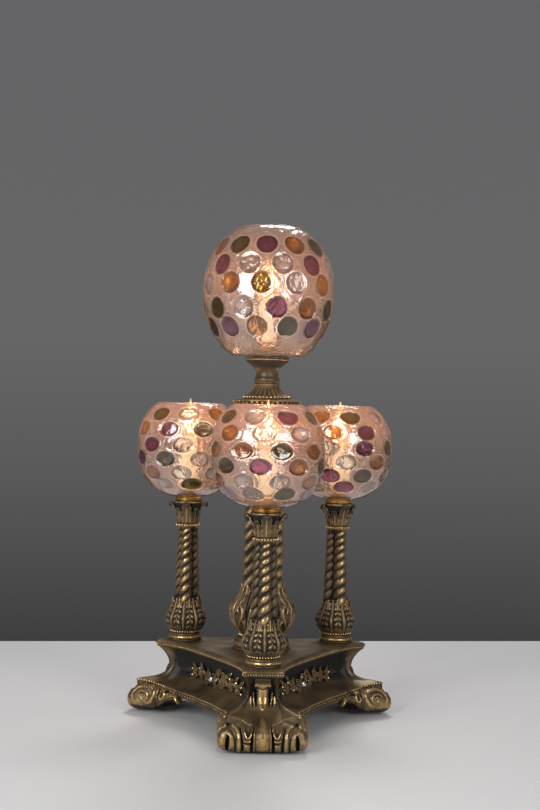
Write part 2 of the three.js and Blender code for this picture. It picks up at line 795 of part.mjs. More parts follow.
function piece(name, geometry, finish, height = 0) {
  const shaded = toCreasedNormals(geometry, radians(creaseAngle));
  const mesh = new THREE.Mesh(shaded, new THREE.MeshStandardMaterial(finish));
  mesh.name = name;
  mesh.position.z = height;
  return mesh;
}

// Everything above a globe's foot: globe, nut, socket, sleeve and bulb
function candleLight(name, size, level) {
  const nutLevel = level + size.wall + touch;
  const sleeveLevel = nutLevel + globeNutHeight + touch;
  const bulbLevel = sleeveLevel + sleeveLength - socketDrop - socketDepth + bulbGap;
  return [
    piece(`${name}_globe`, dottedGlobe(size), lustreGlass, level),
    piece(`${name}_globe_nut`, globeNut(), brass, nutLevel),
    piece(`${name}_socket`, socket(), darkPhenolic, sleeveLevel),
    piece(`${name}_candle_sleeve`, candleSleeve(), creamCard, sleeveLevel),
    piece(`${name}_bulb_base`, bulbBase(), brass, bulbLevel),
    piece(`${name}_bulb_glass`, bulbEnvelope(), clearGlass, bulbLevel + bulbBaseLength + touch),
  ];
}

// Top end of a rod inside the socket of a light whose globe stands at a level
function rodEnd(size, level) {
  const sleeveLevel = level + size.wall + touch + globeNutHeight + touch;
  return sleeveLevel + rodIntoSocket;
}

function outerLight(name) {
  const columnLevel = slabTop + touch;
  const capitalLevel = columnLevel + columnHeight(outerColumn) + touch;
  const seatLevel = capitalLevel + outerCapital.height + touch;
  const globeLevel = seatLevel + seatHeight + touch;
  const hollowTop = slabTop - slabFloor;
  const column = piece(`${name}_column`, ropeColumn(outerColumn), agedBronze, columnLevel);
  column.rotation.z = radians(columnTurn[name]);
  const group = new THREE.Group();
  group.position.set(...around(columnRing, corners[name]), 0);
  group.add(
    piece(`${name}_rod`, threadedRod(hollowTop - rodDrop, rodEnd(outerGlobe, globeLevel)), brass),
    piece(`${name}_rod_nut`, hexNut(hollowTop - touch - nutThick), brass),
    column,
    piece(`${name}_capital`, capital(outerCapital), agedBronze, capitalLevel),
    piece(`${name}_globe_seat`, globeSeat(), brass, seatLevel),
    ...candleLight(name, outerGlobe, globeLevel),
  );
  return group;
}

function centreLight() {
  const columnLevel = slabTop + touch;
  const capitalLevel = columnLevel + columnHeight(centreColumn) + touch;
  const flangeLevel = capitalLevel + centreCapital.height + touch;
  const flareLevel = flangeLevel + flangeHeight + touch;
  const cupLevel = flareLevel + flareHeight + collarHeight + touch;
  const globeLevel = cupLevel + cupHeight + touch;
  const hollowTop = slabTop - slabFloor;
  const group = new THREE.Group();
  group.add(
    piece('centre_rod', threadedRod(hollowTop - rodDrop, rodEnd(topGlobe, globeLevel)), brass),
    piece('centre_rod_nut', hexNut(hollowTop - touch - nutThick), brass),
    piece('centre_column', ropeColumn(centreColumn, shaftHollow), agedBronze, columnLevel),
    piece('centre_capital', capital(centreCapital), agedBronze, capitalLevel),
    piece('pedestal_flange', scallopedFlange(), agedBronze, flangeLevel),
    piece('pedestal_flare', flutedFlare(), agedBronze, flareLevel),
    piece('collar_screw', collarScrew(flareHeight + collarHeight / 2), brass, flareLevel),
    piece('pedestal_cup', globeCup(), agedBronze, cupLevel),
    ...candleLight('top', topGlobe, globeLevel),
  );
  return group;
}

function stand() {
  const group = new THREE.Group();
  group.add(piece('base_casting', baseCasting(), agedBronze));
  group.add(piece('cord_bushing', cordBushing(), blackRubber));
  for (const [name, turn] of Object.entries(corners)) {
    const pad = post(padRadius, 0, padHeight, ...around(padRing, turn), padFacets);
    group.add(piece(`foot_pad_${name}`, pad, greyFelt));
  }
  return group;
}

const lamp = new THREE.Group();
lamp.add(stand(), centreLight(), ...Object.keys(corners).map(outerLight));

// The origin is the middle of the lamp's footprint
const reach = new THREE.Box3().setFromObject(lamp);
lamp.position.x = -(reach.min.x + reach.max.x) / 2;
lamp.position.y = -(reach.min.y + reach.max.y) / 2;

export default lamp;
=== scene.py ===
"""Table lamp with rope columns and coin-dot glass globes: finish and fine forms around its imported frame."""

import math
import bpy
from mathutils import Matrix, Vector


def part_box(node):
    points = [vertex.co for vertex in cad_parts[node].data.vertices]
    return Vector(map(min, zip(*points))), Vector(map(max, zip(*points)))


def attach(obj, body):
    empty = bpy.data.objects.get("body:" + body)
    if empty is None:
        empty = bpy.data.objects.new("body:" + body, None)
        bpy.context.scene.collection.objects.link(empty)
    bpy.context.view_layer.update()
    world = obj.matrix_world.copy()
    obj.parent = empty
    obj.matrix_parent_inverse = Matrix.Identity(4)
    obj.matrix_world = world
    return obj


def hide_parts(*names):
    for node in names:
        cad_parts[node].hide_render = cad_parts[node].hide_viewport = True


bl_info = {
    "name": "Rope Column Table Lamp",
    "version": (1, 1, 0),
    "blender": (4, 5, 0),
    "location": "View3D > Sidebar > Lamp",
    "description": "Dresses the frame of a bronzed table lamp with four coin-dot glass globes",
    "category": "Object",
}

import bpy
import numpy as np
from mathutils import Matrix, Vector

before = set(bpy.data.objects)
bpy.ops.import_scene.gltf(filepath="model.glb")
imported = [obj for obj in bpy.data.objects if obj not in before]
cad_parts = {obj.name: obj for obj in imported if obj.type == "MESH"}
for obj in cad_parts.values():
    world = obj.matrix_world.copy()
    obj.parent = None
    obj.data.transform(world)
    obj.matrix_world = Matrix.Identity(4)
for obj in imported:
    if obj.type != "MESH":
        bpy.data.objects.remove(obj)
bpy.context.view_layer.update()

MM = 0.001
STAND = "stand"
OUTER_LIGHTS = ("front", "right", "left")
LIGHTS = ("top",) + OUTER_LIGHTS
CORNER_TURNS = {"front": -90.0, "right": 30.0, "left": 150.0}
BORE = 5.2  # clear way round the threaded rods, millimetres


# Sizes and colours that a user would change


class LampSizes(bpy.types.PropertyGroup):
    """Sizes of the lamp's fine forms."""

    strand_depth: bpy.props.FloatProperty(
        name="Strand Depth", description="Depth of the groove between two strands of an outer rope", default=2.6 * MM,
        unit="LENGTH", precision=4)
    carving: bpy.props.FloatProperty(
        name="Carving", description="How far the ribs and husks of an outer vase stand out", default=2.2 * MM,
        unit="LENGTH", precision=4)
    dot_width: bpy.props.FloatProperty(
        name="Outer Dot Width", description="Width of a coin dot on an outer globe", default=25.0 * MM,
        unit="LENGTH", precision=4)
    dot_height: bpy.props.FloatProperty(
        name="Outer Dot Height", description="Height of a coin dot on an outer globe", default=18.0 * MM,
        unit="LENGTH", precision=4)
    top_dot: bpy.props.FloatProperty(
        name="Top Dot Diameter", description="Diameter of a coin dot on the top globe", default=25.0 * MM,
        unit="LENGTH", precision=4)
    dot_press: bpy.props.FloatProperty(
        name="Dot Press", description="How deep a coin dot is pressed into the glass", default=1.6 * MM,
        unit="LENGTH", precision=4)


class LampColours(bpy.types.PropertyGroup):
    """Colours of the lamp's finishes, as sRGB hex."""

    bronze: bpy.props.StringProperty(
        name="Bronze", description="Brown of the castings where they lie flat", default="#6B583C")
    # Gilt also paints the glints on the crests of the ropes.
    gilt: bpy.props.StringProperty(
        name="Gilt", description="Gold rubbed through on the high spots", default="#DAB478")
    glass: bpy.props.StringProperty(
        name="Lustre Glass", description="Pink body of the globes", default="#F0D6C6")
    olive: bpy.props.StringProperty(
        name="Olive Dot", description="Dark gold-brown coin dots", default="#74641F")
    purple: bpy.props.StringProperty(
        name="Amethyst Dot", description="Amethyst coin dots", default="#9A4A72")
    amber: bpy.props.StringProperty(
        name="Amber Dot", description="Amber coin dots", default="#DC9A50")
    clear: bpy.props.StringProperty(
        name="Pearl Dot", description="Clear pearly coin dots", default="#F4E8E4")


def sizes():
    return bpy.context.scene.lamp_sizes


def colours():
    return bpy.context.scene.lamp_colours


def linear(hex_colour):
    """Linear RGBA of an sRGB hex colour."""
    parts = [int(hex_colour[at:at + 2], 16) / 255 for at in (1, 3, 5)]
    return [part / 12.92 if part <= 0.04045 else ((part + 0.055) / 1.055) ** 2.4 for part in parts] + [1.0]


# Places taken from the frame


def middle(node):
    """Middle of a node in the plan, in millimetres, as every place below."""
    low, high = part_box(node)
    return (low.x + high.x) / 2 / MM, (low.y + high.y) / 2 / MM


def span(node):
    """Lowest and highest point of a node."""
    low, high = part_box(node)
    return low.z / MM, high.z / MM


LAMP_AXIS = middle("centre_rod")


def turned_from(turn, out, along=0.0):
    """Point of the plan at a distance from the lamp axis in a direction, and so far to its left."""
    way = math.radians(turn)
    return (LAMP_AXIS[0] + out * math.cos(way) - along * math.sin(way),
            LAMP_AXIS[1] + out * math.sin(way) + along * math.cos(way))


# Making meshes


class Form:
    """Skins of one piece while it is being made, in millimetres, with how bright each point is worn, or, below zero,
    painted dark as shade.
    """

    def __init__(self):
        self.points, self.faces, self.wear_and_shade = [], [], []

    def skin(self, rings, wear_and_shade=0.4, looped=False):
        """Adds a closed skin over rings of equally many points. It is turned to face outwards."""
        rings = np.asarray(rings, float)
        lines, columns = rings.shape[:2]
        points = rings.reshape(-1, 3)
        line, column = np.meshgrid(np.arange(lines if looped else lines - 1), np.arange(columns), indexing="ij")
        above, beside = (line + 1) % lines, (column + 1) % columns
        corners = [line * columns + column, line * columns + beside, above * columns + beside, above * columns + column]
        quads = np.stack([corner.ravel() for corner in corners], 1)
        a, b, c, d = (points[quads[:, at]] - points[0] for at in range(4))
        volume = np.sum(a * (np.cross(b, c) + np.cross(c, d)))
        faces = quads.tolist()
        if not looped:
            for ends in (list(range(columns - 1, -1, -1)), list(range((lines - 1) * columns, lines * columns))):
                faces.append(ends)
                fan = points[ends] - points[0]
                volume += np.sum(np.cross(fan[1:-1], fan[2:]) @ fan[0])
        if volume < 0:
            faces = [face[::-1] for face in faces]
        start = len(self.points)
        self.points += points.tolist()
        self.faces += [[start + spot for spot in face] for face in faces]
        self.wear_and_shade += np.broadcast_to(np.asarray(wear_and_shade, float), rings.shape[:2]).ravel().tolist()

    def bead(self, place, size, wear_and_shade=0.75, columns=10, lines=6):
        """Adds a round bead."""
        tilt = (np.arange(lines) + 0.5) / lines * math.pi - math.pi / 2
        turn = np.arange(columns) / columns * 2 * math.pi
        tilt[0], tilt[-1] = -1.45, 1.45
        rings = np.stack([np.outer(np.cos(tilt), np.cos(turn)), np.outer(np.cos(tilt), np.sin(turn)),
                          np.outer(np.sin(tilt), np.ones(columns))], 2)
        self.skin(np.asarray(place) + size * rings, wear_and_shade)

    def tube(self, path, thickness, wear_and_shade=0.7, columns=8):
        """Adds a round bar of changing radius along a path."""
        path = np.asarray(path, float)
        way = np.gradient(path, axis=0)
        way /= np.linalg.norm(way, axis=1)[:, None]
        side = np.cross(way, (0.31, 0.17, 0.93))
        side /= np.linalg.norm(side, axis=1)[:, None]
        other = np.cross(way, side)
        turn = np.arange(columns) / columns * 2 * math.pi
        around = side[:, None] * np.cos(turn)[:, None] + other[:, None] * np.sin(turn)[:, None]
        thickness = np.broadcast_to(thickness, len(path))
        self.skin(path[:, None] + np.asarray(thickness)[:, None, None] * around, wear_and_shade)

    def leaf(self, spine, side, widths, thick, rib, cup=0.0, steps=6, lobes=0, tone=1.0):
        """Adds a leaf: a bent blade along a spine, with a rib down its middle, hollowed and lobed if asked. Its face
        looks along side × spine, and side is one way across it or one for each point of the spine."""
        spine = np.asarray(spine, float)
        share = np.linspace(0, 1, len(spine))
        widths = np.interp(share, np.linspace(0, 1, len(widths)), widths)
        if lobes:
            widths = widths * (0.82 + 0.24 * np.abs(np.sin(math.pi * lobes * share)))
        side = np.broadcast_to(np.asarray(side, float), spine.shape)
        way = np.gradient(spine, axis=0)
        face = np.cross(side, way)
        face /= np.linalg.norm(face, axis=1)[:, None]
        front = np.linspace(-1, 1, 2 * steps + 1)
        across = np.concatenate([front, front[-2:0:-1]])
        ridge = np.exp(-(across / 0.22) ** 2)
        veins = 0.25 * np.cos(2 * math.pi * (lobes or 3) * 1.5 * (share[:, None] - 0.18 * np.abs(across)))
        rise = cup * across ** 2 + rib * ridge + rib * veins * (1 - ridge) * (1 - across ** 2)
        back = np.arange(len(across)) > 2 * steps
        rise = np.where(back, cup * across ** 2 - thick * np.sqrt(1 - across ** 2), rise)
        rings = (spine[:, None] + side[:, None] * (widths[:, None] * across)[..., None] + face[:, None] * rise[..., None])
        edge = np.abs(across) ** 6
        # The back of each leaf is painted dark as shade.
        wear_and_shade = np.where(back, -0.2, 0.85 * np.maximum(ridge, edge * 0.8) + 0.15 * veins - 0.1)
        self.skin(rings, wear_and_shade * tone)

    def piece(self, name, look, replaced=(), body=STAND):
        """Makes the piece, which rides on a body and may stand for nodes of the frame."""
        mesh = bpy.data.meshes.new(name)
        mesh.from_pydata((np.array(self.points) * MM).tolist(), [], self.faces)
        mesh.validate()
        mesh.materials.append(look)
        mesh.shade_smooth()
        # Per point: gilt wear on the high spots, painted glints on rope crests, and painted shade where below zero.
        mesh.attributes.new("wear_and_shade", "FLOAT", "POINT").data.foreach_set("value", self.wear_and_shade)
        made = bpy.data.objects.new(name, mesh)
        bpy.context.scene.collection.objects.link(made)
        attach(made, body)
        if replaced:
            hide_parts(*replaced)
        return made


def spun(profile, columns, centre, carve=None):
    """Rings of a profile about an upright axis, and how bright they are worn, or, below zero, painted dark as shade. A
    profile holds radius, height and, where it isn't the usual, brightness. Angle 0 faces the front. carve may change a
    ring."""
    angle = np.arange(columns) * 2 * math.pi / columns
    rings, brightness = [], []
    for radius, height, *bright in profile:
        radii, heights, wear_and_shade = (np.full(columns, float(value)) for value in (radius, height, *(bright or [0.35])))
        if carve:
            radii, heights, wear_and_shade = carve(angle, radii, heights, wear_and_shade)
        rings.append(np.stack([centre[0] + radii * np.sin(angle), centre[1] - radii * np.cos(angle), heights], 1))
        brightness.append(wear_and_shade)
    return np.array(rings), np.array(brightness)


def turned(form, profile, columns, centre, carve=None):
    """Adds a turned body round a rod: its profile's first and last points lie on the bore."""
    rings, wear_and_shade = spun(profile, columns, centre, carve)
    form.skin(rings, wear_and_shade, looped=True)


def eased(points, step):
    """A smooth run of points through a few given ones, about a step apart."""
    points = [Vector(point) for point in points]
    padded = [points[0]] + points + [points[-1]]
    run = []
    for at in range(1, len(padded) - 2):
        a, b, c, d = padded[at - 1:at + 3]
        parts = max(1, round((c - b).length / step))
        for part in range(parts):
            t = part / parts
            run.append(0.5 * ((2 * b) + (c - a) * t + (2 * a - 5 * b + 4 * c - d) * t * t
                              + (3 * b - a - 3 * c + d) * t ** 3))
    run.append(points[-1])
    return [tuple(point) for point in run]


def half_round(radius, low, high, proud, wear_and_shade=0.8, steps=6):
    """Points of a moulding that bulges by so much between two heights."""
    turns = [math.pi * step / steps for step in range(steps + 1)]
    return [(radius + proud * math.sin(turn), (low + high) / 2 - (high - low) / 2 * math.cos(turn),
             0.3 + (wear_and_shade - 0.3) * math.sin(turn)) for turn in turns]


def smooth_share(value, low, high):
    """How far a value has gone from low to high, eased at both ends."""
    share = np.clip((value - low) / (high - low), 0, 1)
    return share * share * (3 - 2 * share)


def stroked(across, up, strokes):
    """Relief that strokes leave at points of a surface, and how bright they rub it; deep cuts are painted dark as
    shade.
    """
    proud, cut, wear_and_shade = (np.zeros(np.shape(across)) for _ in range(3))
    for rise, bright, path in strokes:
        path = eased(path, 1.6)
        share = np.zeros(np.shape(across))
        for (x, z, wide), (to_x, to_z, to_wide) in zip(path, path[1:]):
            along = ((across - x) * (to_x - x) + (up - z) * (to_z - z)) / ((to_x - x) ** 2 + (to_z - z) ** 2 + 1e-9)
            along = np.clip(along, 0, 1)
            away = np.hypot(across - x - along * (to_x - x), up - z - along * (to_z - z))
            share = np.maximum(share, 1 - (away / (wide + along * (to_wide - wide))) ** 2)
        share = np.sqrt(share)
        if rise > 0:
            proud, wear_and_shade = np.maximum(proud, rise * share), np.maximum(wear_and_shade, bright * share ** 3)
        else:
            cut = np.maximum(cut, -rise * share)
    # Deep cuts are painted dark as shade.
    return proud - cut, np.where(cut > 0.3, -0.3, wear_and_shade)
# Materials


def add(nodes, kind, inputs=None, stops=None, **settings):
    """Adds a node, with its settings, its inputs as values or as sockets to link from, and a ramp's colour stops."""
    node = nodes.new(kind)
    for key, value in settings.items():
        setattr(node, key, value)
    for key, value in (inputs or {}).items():
        if isinstance(value, bpy.types.NodeSocket):
            node.id_data.links.new(value, node.inputs[key])
        else:
            node.inputs[key].default_value = value
    if stops:
        elements = node.color_ramp.elements
        while len(elements) < len(stops):
            elements.new(0.5)
        for element, (place, colour) in zip(elements, stops):
            element.position = place
            element.color = linear(colour)
    return node


def every(size):
    """Scale of a pattern whose repeats or clouds are so many millimetres wide."""
    return 1 / (size * MM)


def material(name, shader, fill):
    """A material whose node tree is filled by fill(nodes, place), which returns the shader's linked inputs."""
    made = bpy.data.materials.new(name)
    made.use_nodes = True
    tree = made.node_tree
    tree.nodes.clear()
    linked = fill(tree.nodes, add(tree.nodes, "ShaderNodeTexCoord").outputs["Object"])
    surface = add(tree.nodes, "ShaderNodeBsdfPrincipled", {**shader, **linked})
    output = add(tree.nodes, "ShaderNodeOutputMaterial")
    tree.links.new(surface.outputs["BSDF"], output.inputs["Surface"])
    return made


def mottled(name, dark, light, size, shader, detail=4.0):
    """A material of one substance that wanders between two near shades in clouds of a size in millimetres."""

    def fill(nodes, place):
        clouds = add(nodes, "ShaderNodeTexNoise", {"Vector": place, "Scale": every(size), "Detail": detail}).outputs["Fac"]
        return {"Base Color": add(nodes, "ShaderNodeValToRGB", {"Fac": clouds}, [(0.3, dark), (0.7, light)]).outputs[0]}

    return material(name, shader, fill)


def cast_bronze():
    """Zinc casting, bronze plated, washed dark, lacquered and wiped by hand: dull brown on the flats and pale gold
    where it stands proud, the gold narrowed on the rope crests into painted glints. Hollows, grooves and marked
    recesses are painted near black as shade. The wash dries in clouds 22 mm wide, over sand grain of 1.2 mm."""

    def fill(nodes, place):
        edge = add(nodes, "ShaderNodeNewGeometry").outputs["Pointiness"]
        wear_and_shade = add(nodes, "ShaderNodeAttribute", attribute_name="wear_and_shade").outputs["Fac"]
        # Ambient occlusion darkens the hollows: painted shade.
        hollow = add(nodes, "ShaderNodeAmbientOcclusion", {"Distance": 9 * MM}, samples=8).outputs["AO"]
        clouds, wiped, grain = (
            add(nodes, "ShaderNodeTexNoise", {"Vector": place, "Scale": every(size), "Detail": detail}).outputs["Fac"]
            for size, detail in ((22, 5.0), (5, 3.0), (1.2, 4.0)))
        sharp = add(nodes, "ShaderNodeMapRange", {0: edge, 1: 0.52, 2: 0.62, 4: 0.45}).outputs[0]
        proud = add(nodes, "ShaderNodeMath", {0: wear_and_shade, 1: sharp}, operation="ADD").outputs[0]
        patchy = add(nodes, "ShaderNodeMapRange", {0: wiped, 1: 0.3, 2: 0.7, 3: -0.2, 4: 0.16}).outputs[0]
        # Gilt share: wear on proud points and painted glints on rope crests, held down by painted shade marks.
        gilt_wear_and_glints = add(nodes, "ShaderNodeMath", {0: proud, 1: patchy}, operation="ADD").outputs[0]
        bright = add(nodes, "ShaderNodeMapRange", {0: gilt_wear_and_glints, 1: 0.4, 2: 1.05}).outputs[0]
        wash = add(nodes, "ShaderNodeValToRGB", {"Fac": clouds}, [(0.3, "#3A2D1E"), (0.62, colours().bronze)]).outputs[0]
        gilded = add(nodes, "ShaderNodeMix", {"Factor": bright, "A": wash, "B": linear(colours().gilt)},
                     data_type="RGBA").outputs["Result"]
        open_share = add(nodes, "ShaderNodeMapRange", {0: hollow, 1: 0.35, 2: 0.85}).outputs[0]
        raised = add(nodes, "ShaderNodeMapRange", {0: wear_and_shade, 1: -0.25, 2: 0.02}).outputs[0]
        unshaded_share = add(nodes, "ShaderNodeMath", {0: open_share, 1: raised}, operation="MULTIPLY").outputs[0]
        lit_share = add(nodes, "ShaderNodeMath", {0: unshaded_share, 1: bright}, operation="MAXIMUM").outputs[0]
        # Near black #120D09 is painted shade, laid where occlusion or a shade mark below zero is found.
        base = add(nodes, "ShaderNodeMix", {"Factor": lit_share, "A": linear("#120D09"), "B": gilded},
                   data_type="RGBA").outputs["Result"]
        bare = add(nodes, "ShaderNodeMapRange", {0: lit_share, 3: 0.05, 4: 0.58}).outputs[0]
        metal = add(nodes, "ShaderNodeMath", {0: bright, 1: 0.42, 2: bare}, operation="MULTIPLY_ADD").outputs[0]
        dusty = add(nodes, "ShaderNodeMapRange", {0: lit_share, 3: 0.9, 4: 0.36}).outputs[0]
        dull = add(nodes, "ShaderNodeMath", {0: bright, 1: -0.2, 2: dusty}, operation="MULTIPLY_ADD").outputs[0]
        rough = add(nodes, "ShaderNodeMath", {0: grain, 1: 0.14, 2: dull}, operation="MULTIPLY_ADD").outputs[0]
        bump = add(nodes, "ShaderNodeBump", {"Height": grain, "Strength": 0.25, "Distance": 0.3 * MM})
        return {"Base Color": base, "Metallic": metal, "Roughness": rough, "Normal": bump.outputs["Normal"]}

    return material("washed_cast_bronze", {"Coat Weight": 0.15, "Coat Roughness": 0.3}, fill)


def turned_brass():
    """Turned and lacquered brass rings: bright, with the marks of the tool as fine bands, drawn 1.5 mm apart
    because the real ones are too fine to show."""

    def fill(nodes, place):
        marks = add(nodes, "ShaderNodeTexWave", {"Vector": place, "Scale": every(1.5) * 2 * math.pi / 20, "Distortion": 1.5},
                    bands_direction="Z").outputs["Fac"]
        clouds = add(nodes, "ShaderNodeTexNoise", {"Vector": place, "Scale": every(9), "Detail": 4.0}).outputs["Fac"]
        base = add(nodes, "ShaderNodeValToRGB", {"Fac": clouds}, [(0.35, "#7A5A2A"), (0.65, "#CFA154")]).outputs[0]
        rough = add(nodes, "ShaderNodeMapRange", {0: marks, 3: 0.22, 4: 0.38}).outputs[0]
        return {"Base Color": base, "Roughness": rough}

    return material("turned_lacquered_brass", {"Metallic": 1.0}, fill)


def lustre_glass():
    """Blown soda glass fumed with metal salts: clear and pinkish, a little milky, with a mirror-like film, and coin
    dots stained in the mass. Its surface wanders in soft waves 14 mm wide over finer ones of 5 mm, as hand-blown
    glass does. Light and shade pass it nearly unweakened."""

    def fill(nodes, place):
        reach, tone, glow = (add(nodes, "ShaderNodeAttribute", attribute_name=name).outputs["Fac"]
                             for name in ("dot_reach", "dot_tone", "bulb_glow"))
        inside = add(nodes, "ShaderNodeMapRange", {0: reach, 1: 1.0, 2: 0.93}).outputs[0]
        stain = add(nodes, "ShaderNodeValToRGB", {"Fac": tone}, [
            (0.0, colours().clear), (0.2, colours().clear), (0.21, colours().olive), (0.45, colours().olive),
            (0.46, colours().purple), (0.7, colours().purple), (0.71, colours().amber)]).outputs[0]
        fume, wave, ripple = (
            add(nodes, "ShaderNodeTexNoise", {"Vector": place, "Scale": every(size), "Detail": 1.5}).outputs["Fac"]
            for size in (33, 14, 5))
        body = add(nodes, "ShaderNodeValToRGB", {"Fac": fume}, [
            (0.3, "#F0DAD4"), (0.5, colours().glass), (0.7, "#F6DCC0")]).outputs[0]
        # Each dot's stain darkens towards its rim: painted shade of the dot as a lens.
        rim = add(nodes, "ShaderNodeMapRange", {0: reach, 1: 0.5, 2: 1.0, 3: 0.0, 4: 0.8}).outputs[0]
        rim_shaded_stain = add(nodes, "ShaderNodeMix", {"Factor": rim, "A": stain, "B": linear("#6E5A48")}, data_type="RGBA",
                   blend_type="MULTIPLY").outputs["Result"]
        grazing = add(nodes, "ShaderNodeLayerWeight", {"Blend": 0.5}).outputs["Facing"]
        edge = add(nodes, "ShaderNodeMapRange", {0: grazing, 1: 0.5, 2: 1.0, 3: 0.0, 4: 0.85}).outputs[0]
        edged = add(nodes, "ShaderNodeMix", {"Factor": edge, "A": body, "B": linear("#B58A66")},
                    data_type="RGBA").outputs["Result"]
        streaks = add(nodes, "ShaderNodeValToRGB", {"Fac": wave}, [(0.35, "#A89C8C"), (0.6, "#FFFFFF")]).outputs[0]
        streaked = add(nodes, "ShaderNodeMix", {"Factor": 0.8, "A": rim_shaded_stain, "B": streaks}, data_type="RGBA",
                       blend_type="MULTIPLY").outputs["Result"]
        base = add(nodes, "ShaderNodeMix", {"Factor": inside, "A": edged, "B": streaked}, data_type="RGBA")
        # A thin white ring round each dot, added to the emission: painted highlight on the dot's rim.
        line = add(nodes, "ShaderNodeValToRGB", {"Fac": add(nodes, "ShaderNodeMath", {0: reach, 1: 0.5},
                                                            operation="MULTIPLY").outputs[0]},
                   [(0.505, "#000000"), (0.53, "#FFFFFF"), (0.555, "#000000")]).outputs[0]
        paths = add(nodes, "ShaderNodeLightPath")
        passing = add(nodes, "ShaderNodeMath", {0: paths.outputs["Is Shadow Ray"], 1: paths.outputs["Is Diffuse Ray"]},
                      operation="MAXIMUM").outputs[0]
        alpha = add(nodes, "ShaderNodeMapRange", {0: passing, 3: 1.0, 4: 0.15}).outputs[0]
        uneven = add(nodes, "ShaderNodeMath", {0: ripple, 1: 0.4, 2: wave}, operation="MULTIPLY_ADD").outputs[0]
        bump = add(nodes, "ShaderNodeBump", {"Height": uneven, "Strength": 1.0, "Distance": 2.6 * MM})
        shine = add(nodes, "ShaderNodeMath", {0: line, 1: 0.12}, operation="MULTIPLY").outputs[0]
        # Emission: painted glow of the bulb's light on the glass near it, plus the painted rim highlights.
        lit = add(nodes, "ShaderNodeMath", {0: glow, 1: 0.26, 2: shine}, operation="MULTIPLY_ADD").outputs[0]
        return {"Base Color": base.outputs["Result"], "Alpha": alpha, "Emission Strength": lit,
                "Normal": bump.outputs["Normal"]}

    return material("fumed_soda_glass", {
        "Roughness": 0.03, "IOR": 1.5, "Transmission Weight": 0.93, "Coat Weight": 0.6, "Coat Roughness": 0.02,
        "Coat IOR": 1.9, "Emission Color": linear("#F2A978")}, fill)


def candle_card():
    """Paper tube dipped in cream wax paint: matt, faintly streaked, with a painted warm glow for the light of the bulb
    above.
    """
    return mottled("wax_painted_paper", "#E8D6B0", "#F6E9CC", 8, {
        "Roughness": 0.6, "Emission Color": linear("#FFD9A0"), "Emission Strength": 0.2}, 3.0)


def bulb_glass():
    """Clear blown bulb glass: nearly unseen but for its edge and sharp highlights. It lets the wire's light out, and
    its faint warm emission is a painted glow of that light.
    """

    def fill(nodes, place):
        paths = add(nodes, "ShaderNodeLightPath")
        passing = add(nodes, "ShaderNodeMath", {0: paths.outputs["Is Shadow Ray"], 1: paths.outputs["Is Diffuse Ray"]},
                      operation="MAXIMUM").outputs[0]
        alpha = add(nodes, "ShaderNodeMapRange", {0: passing, 3: 1.0, 4: 0.1}).outputs[0]
        clouds = add(nodes, "ShaderNodeTexNoise", {"Vector": place, "Scale": every(5), "Detail": 4.0}).outputs["Fac"]
        base = add(nodes, "ShaderNodeValToRGB", {"Fac": clouds}, [(0.4, "#FFEFDC"), (0.6, "#FFF8EC")]).outputs[0]
        return {"Base Color": base, "Alpha": alpha}

    return material("clear_bulb_glass", {"Roughness": 0.03, "Transmission Weight": 0.97, "IOR": 1.3,
                                         "Emission Color": linear("#FFC890"), "Emission Strength": 0.12}, fill)


def glowing_wire():
    """Drawn tungsten at working heat, yellow-white, its heat wandering in patches 3.3 mm wide."""

    def fill(nodes, place):
        heat = add(nodes, "ShaderNodeValToRGB", {"Fac": add(nodes, "ShaderNodeTexNoise", {"Vector": place, "Scale": every(3.3), "Detail": 4.0}).outputs["Fac"]}, [(0.3, "#FFE8C2"), (0.7, "#FFF6E6")])
        return {"Emission Color": heat.outputs[0]}

    return material("drawn_tungsten_wire", {"Emission Strength": 190.0, "Roughness": 0.4}, fill)


def screw_brass():
    """Rolled sheet brass of a bulb's screw base, thin and evenly bright."""
    return mottled("rolled_sheet_brass", "#A98A4C", "#D8BC7C", 6.7, {"Metallic": 1.0, "Roughness": 0.3})


def plated_steel():
    """Cut steel thread and nuts, zinc plated: grey with a faint yellow passivation."""
    return mottled("zinc_plated_steel", "#8A8470", "#B8B09A", 7.7, {"Metallic": 1.0, "Roughness": 0.35})


def silvered_bead():
    """Cast bead, silver plated and rubbed, in the middle of each garland: the one cold light among the gilding."""
    return mottled("silver_plated_bead", "#8E8A86", "#E4E0DA", 3, {"Metallic": 1.0, "Roughness": 0.26})


def moulded_phenolic():
    """Compression-moulded phenolic of the sockets: near black, half matt."""
    return mottled("moulded_phenolic", "#1C1511", "#33261D", 4.2, {"Roughness": 0.45})


def pressed_felt():
    """Pressed wool felt of the foot pads: a fuzzy nap whose tufts, 1.7 mm wide, catch the light at the edges."""

    def fill(nodes, place):
        tufts = add(nodes, "ShaderNodeTexNoise", {"Vector": place, "Scale": every(1.7), "Detail": 6.0}).outputs["Fac"]
        bump = add(nodes, "ShaderNodeBump", {"Height": tufts, "Strength": 0.6, "Distance": 0.4 * MM})
        base = add(nodes, "ShaderNodeValToRGB", {"Fac": tufts}, [(0.3, "#6E5A4C"), (0.7, "#A58D7B")]).outputs[0]
        return {"Base Color": base, "Normal": bump.outputs["Normal"]}

    return material("pressed_wool_felt", {"Roughness": 0.95, "Sheen Weight": 0.4}, fill)


def soft_rubber():
    """Moulded black rubber of the cord inlet's bushing, greyed by dust."""
    return mottled("moulded_black_rubber", "#1A1918", "#2B2927", 4, {"Roughness": 0.7})


finishes = {}


def finish(name, make):
    """A finish, made once."""
    if name not in finishes:
        finishes[name] = make()
    return finishes[name]


def bronze():
    return finish("bronze", cast_bronze)


def dress(node, look):
    """Gives a frame node a better material."""
    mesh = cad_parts[node].data
    mesh.materials.clear()
    mesh.materials.append(look)


# Columns and capitals

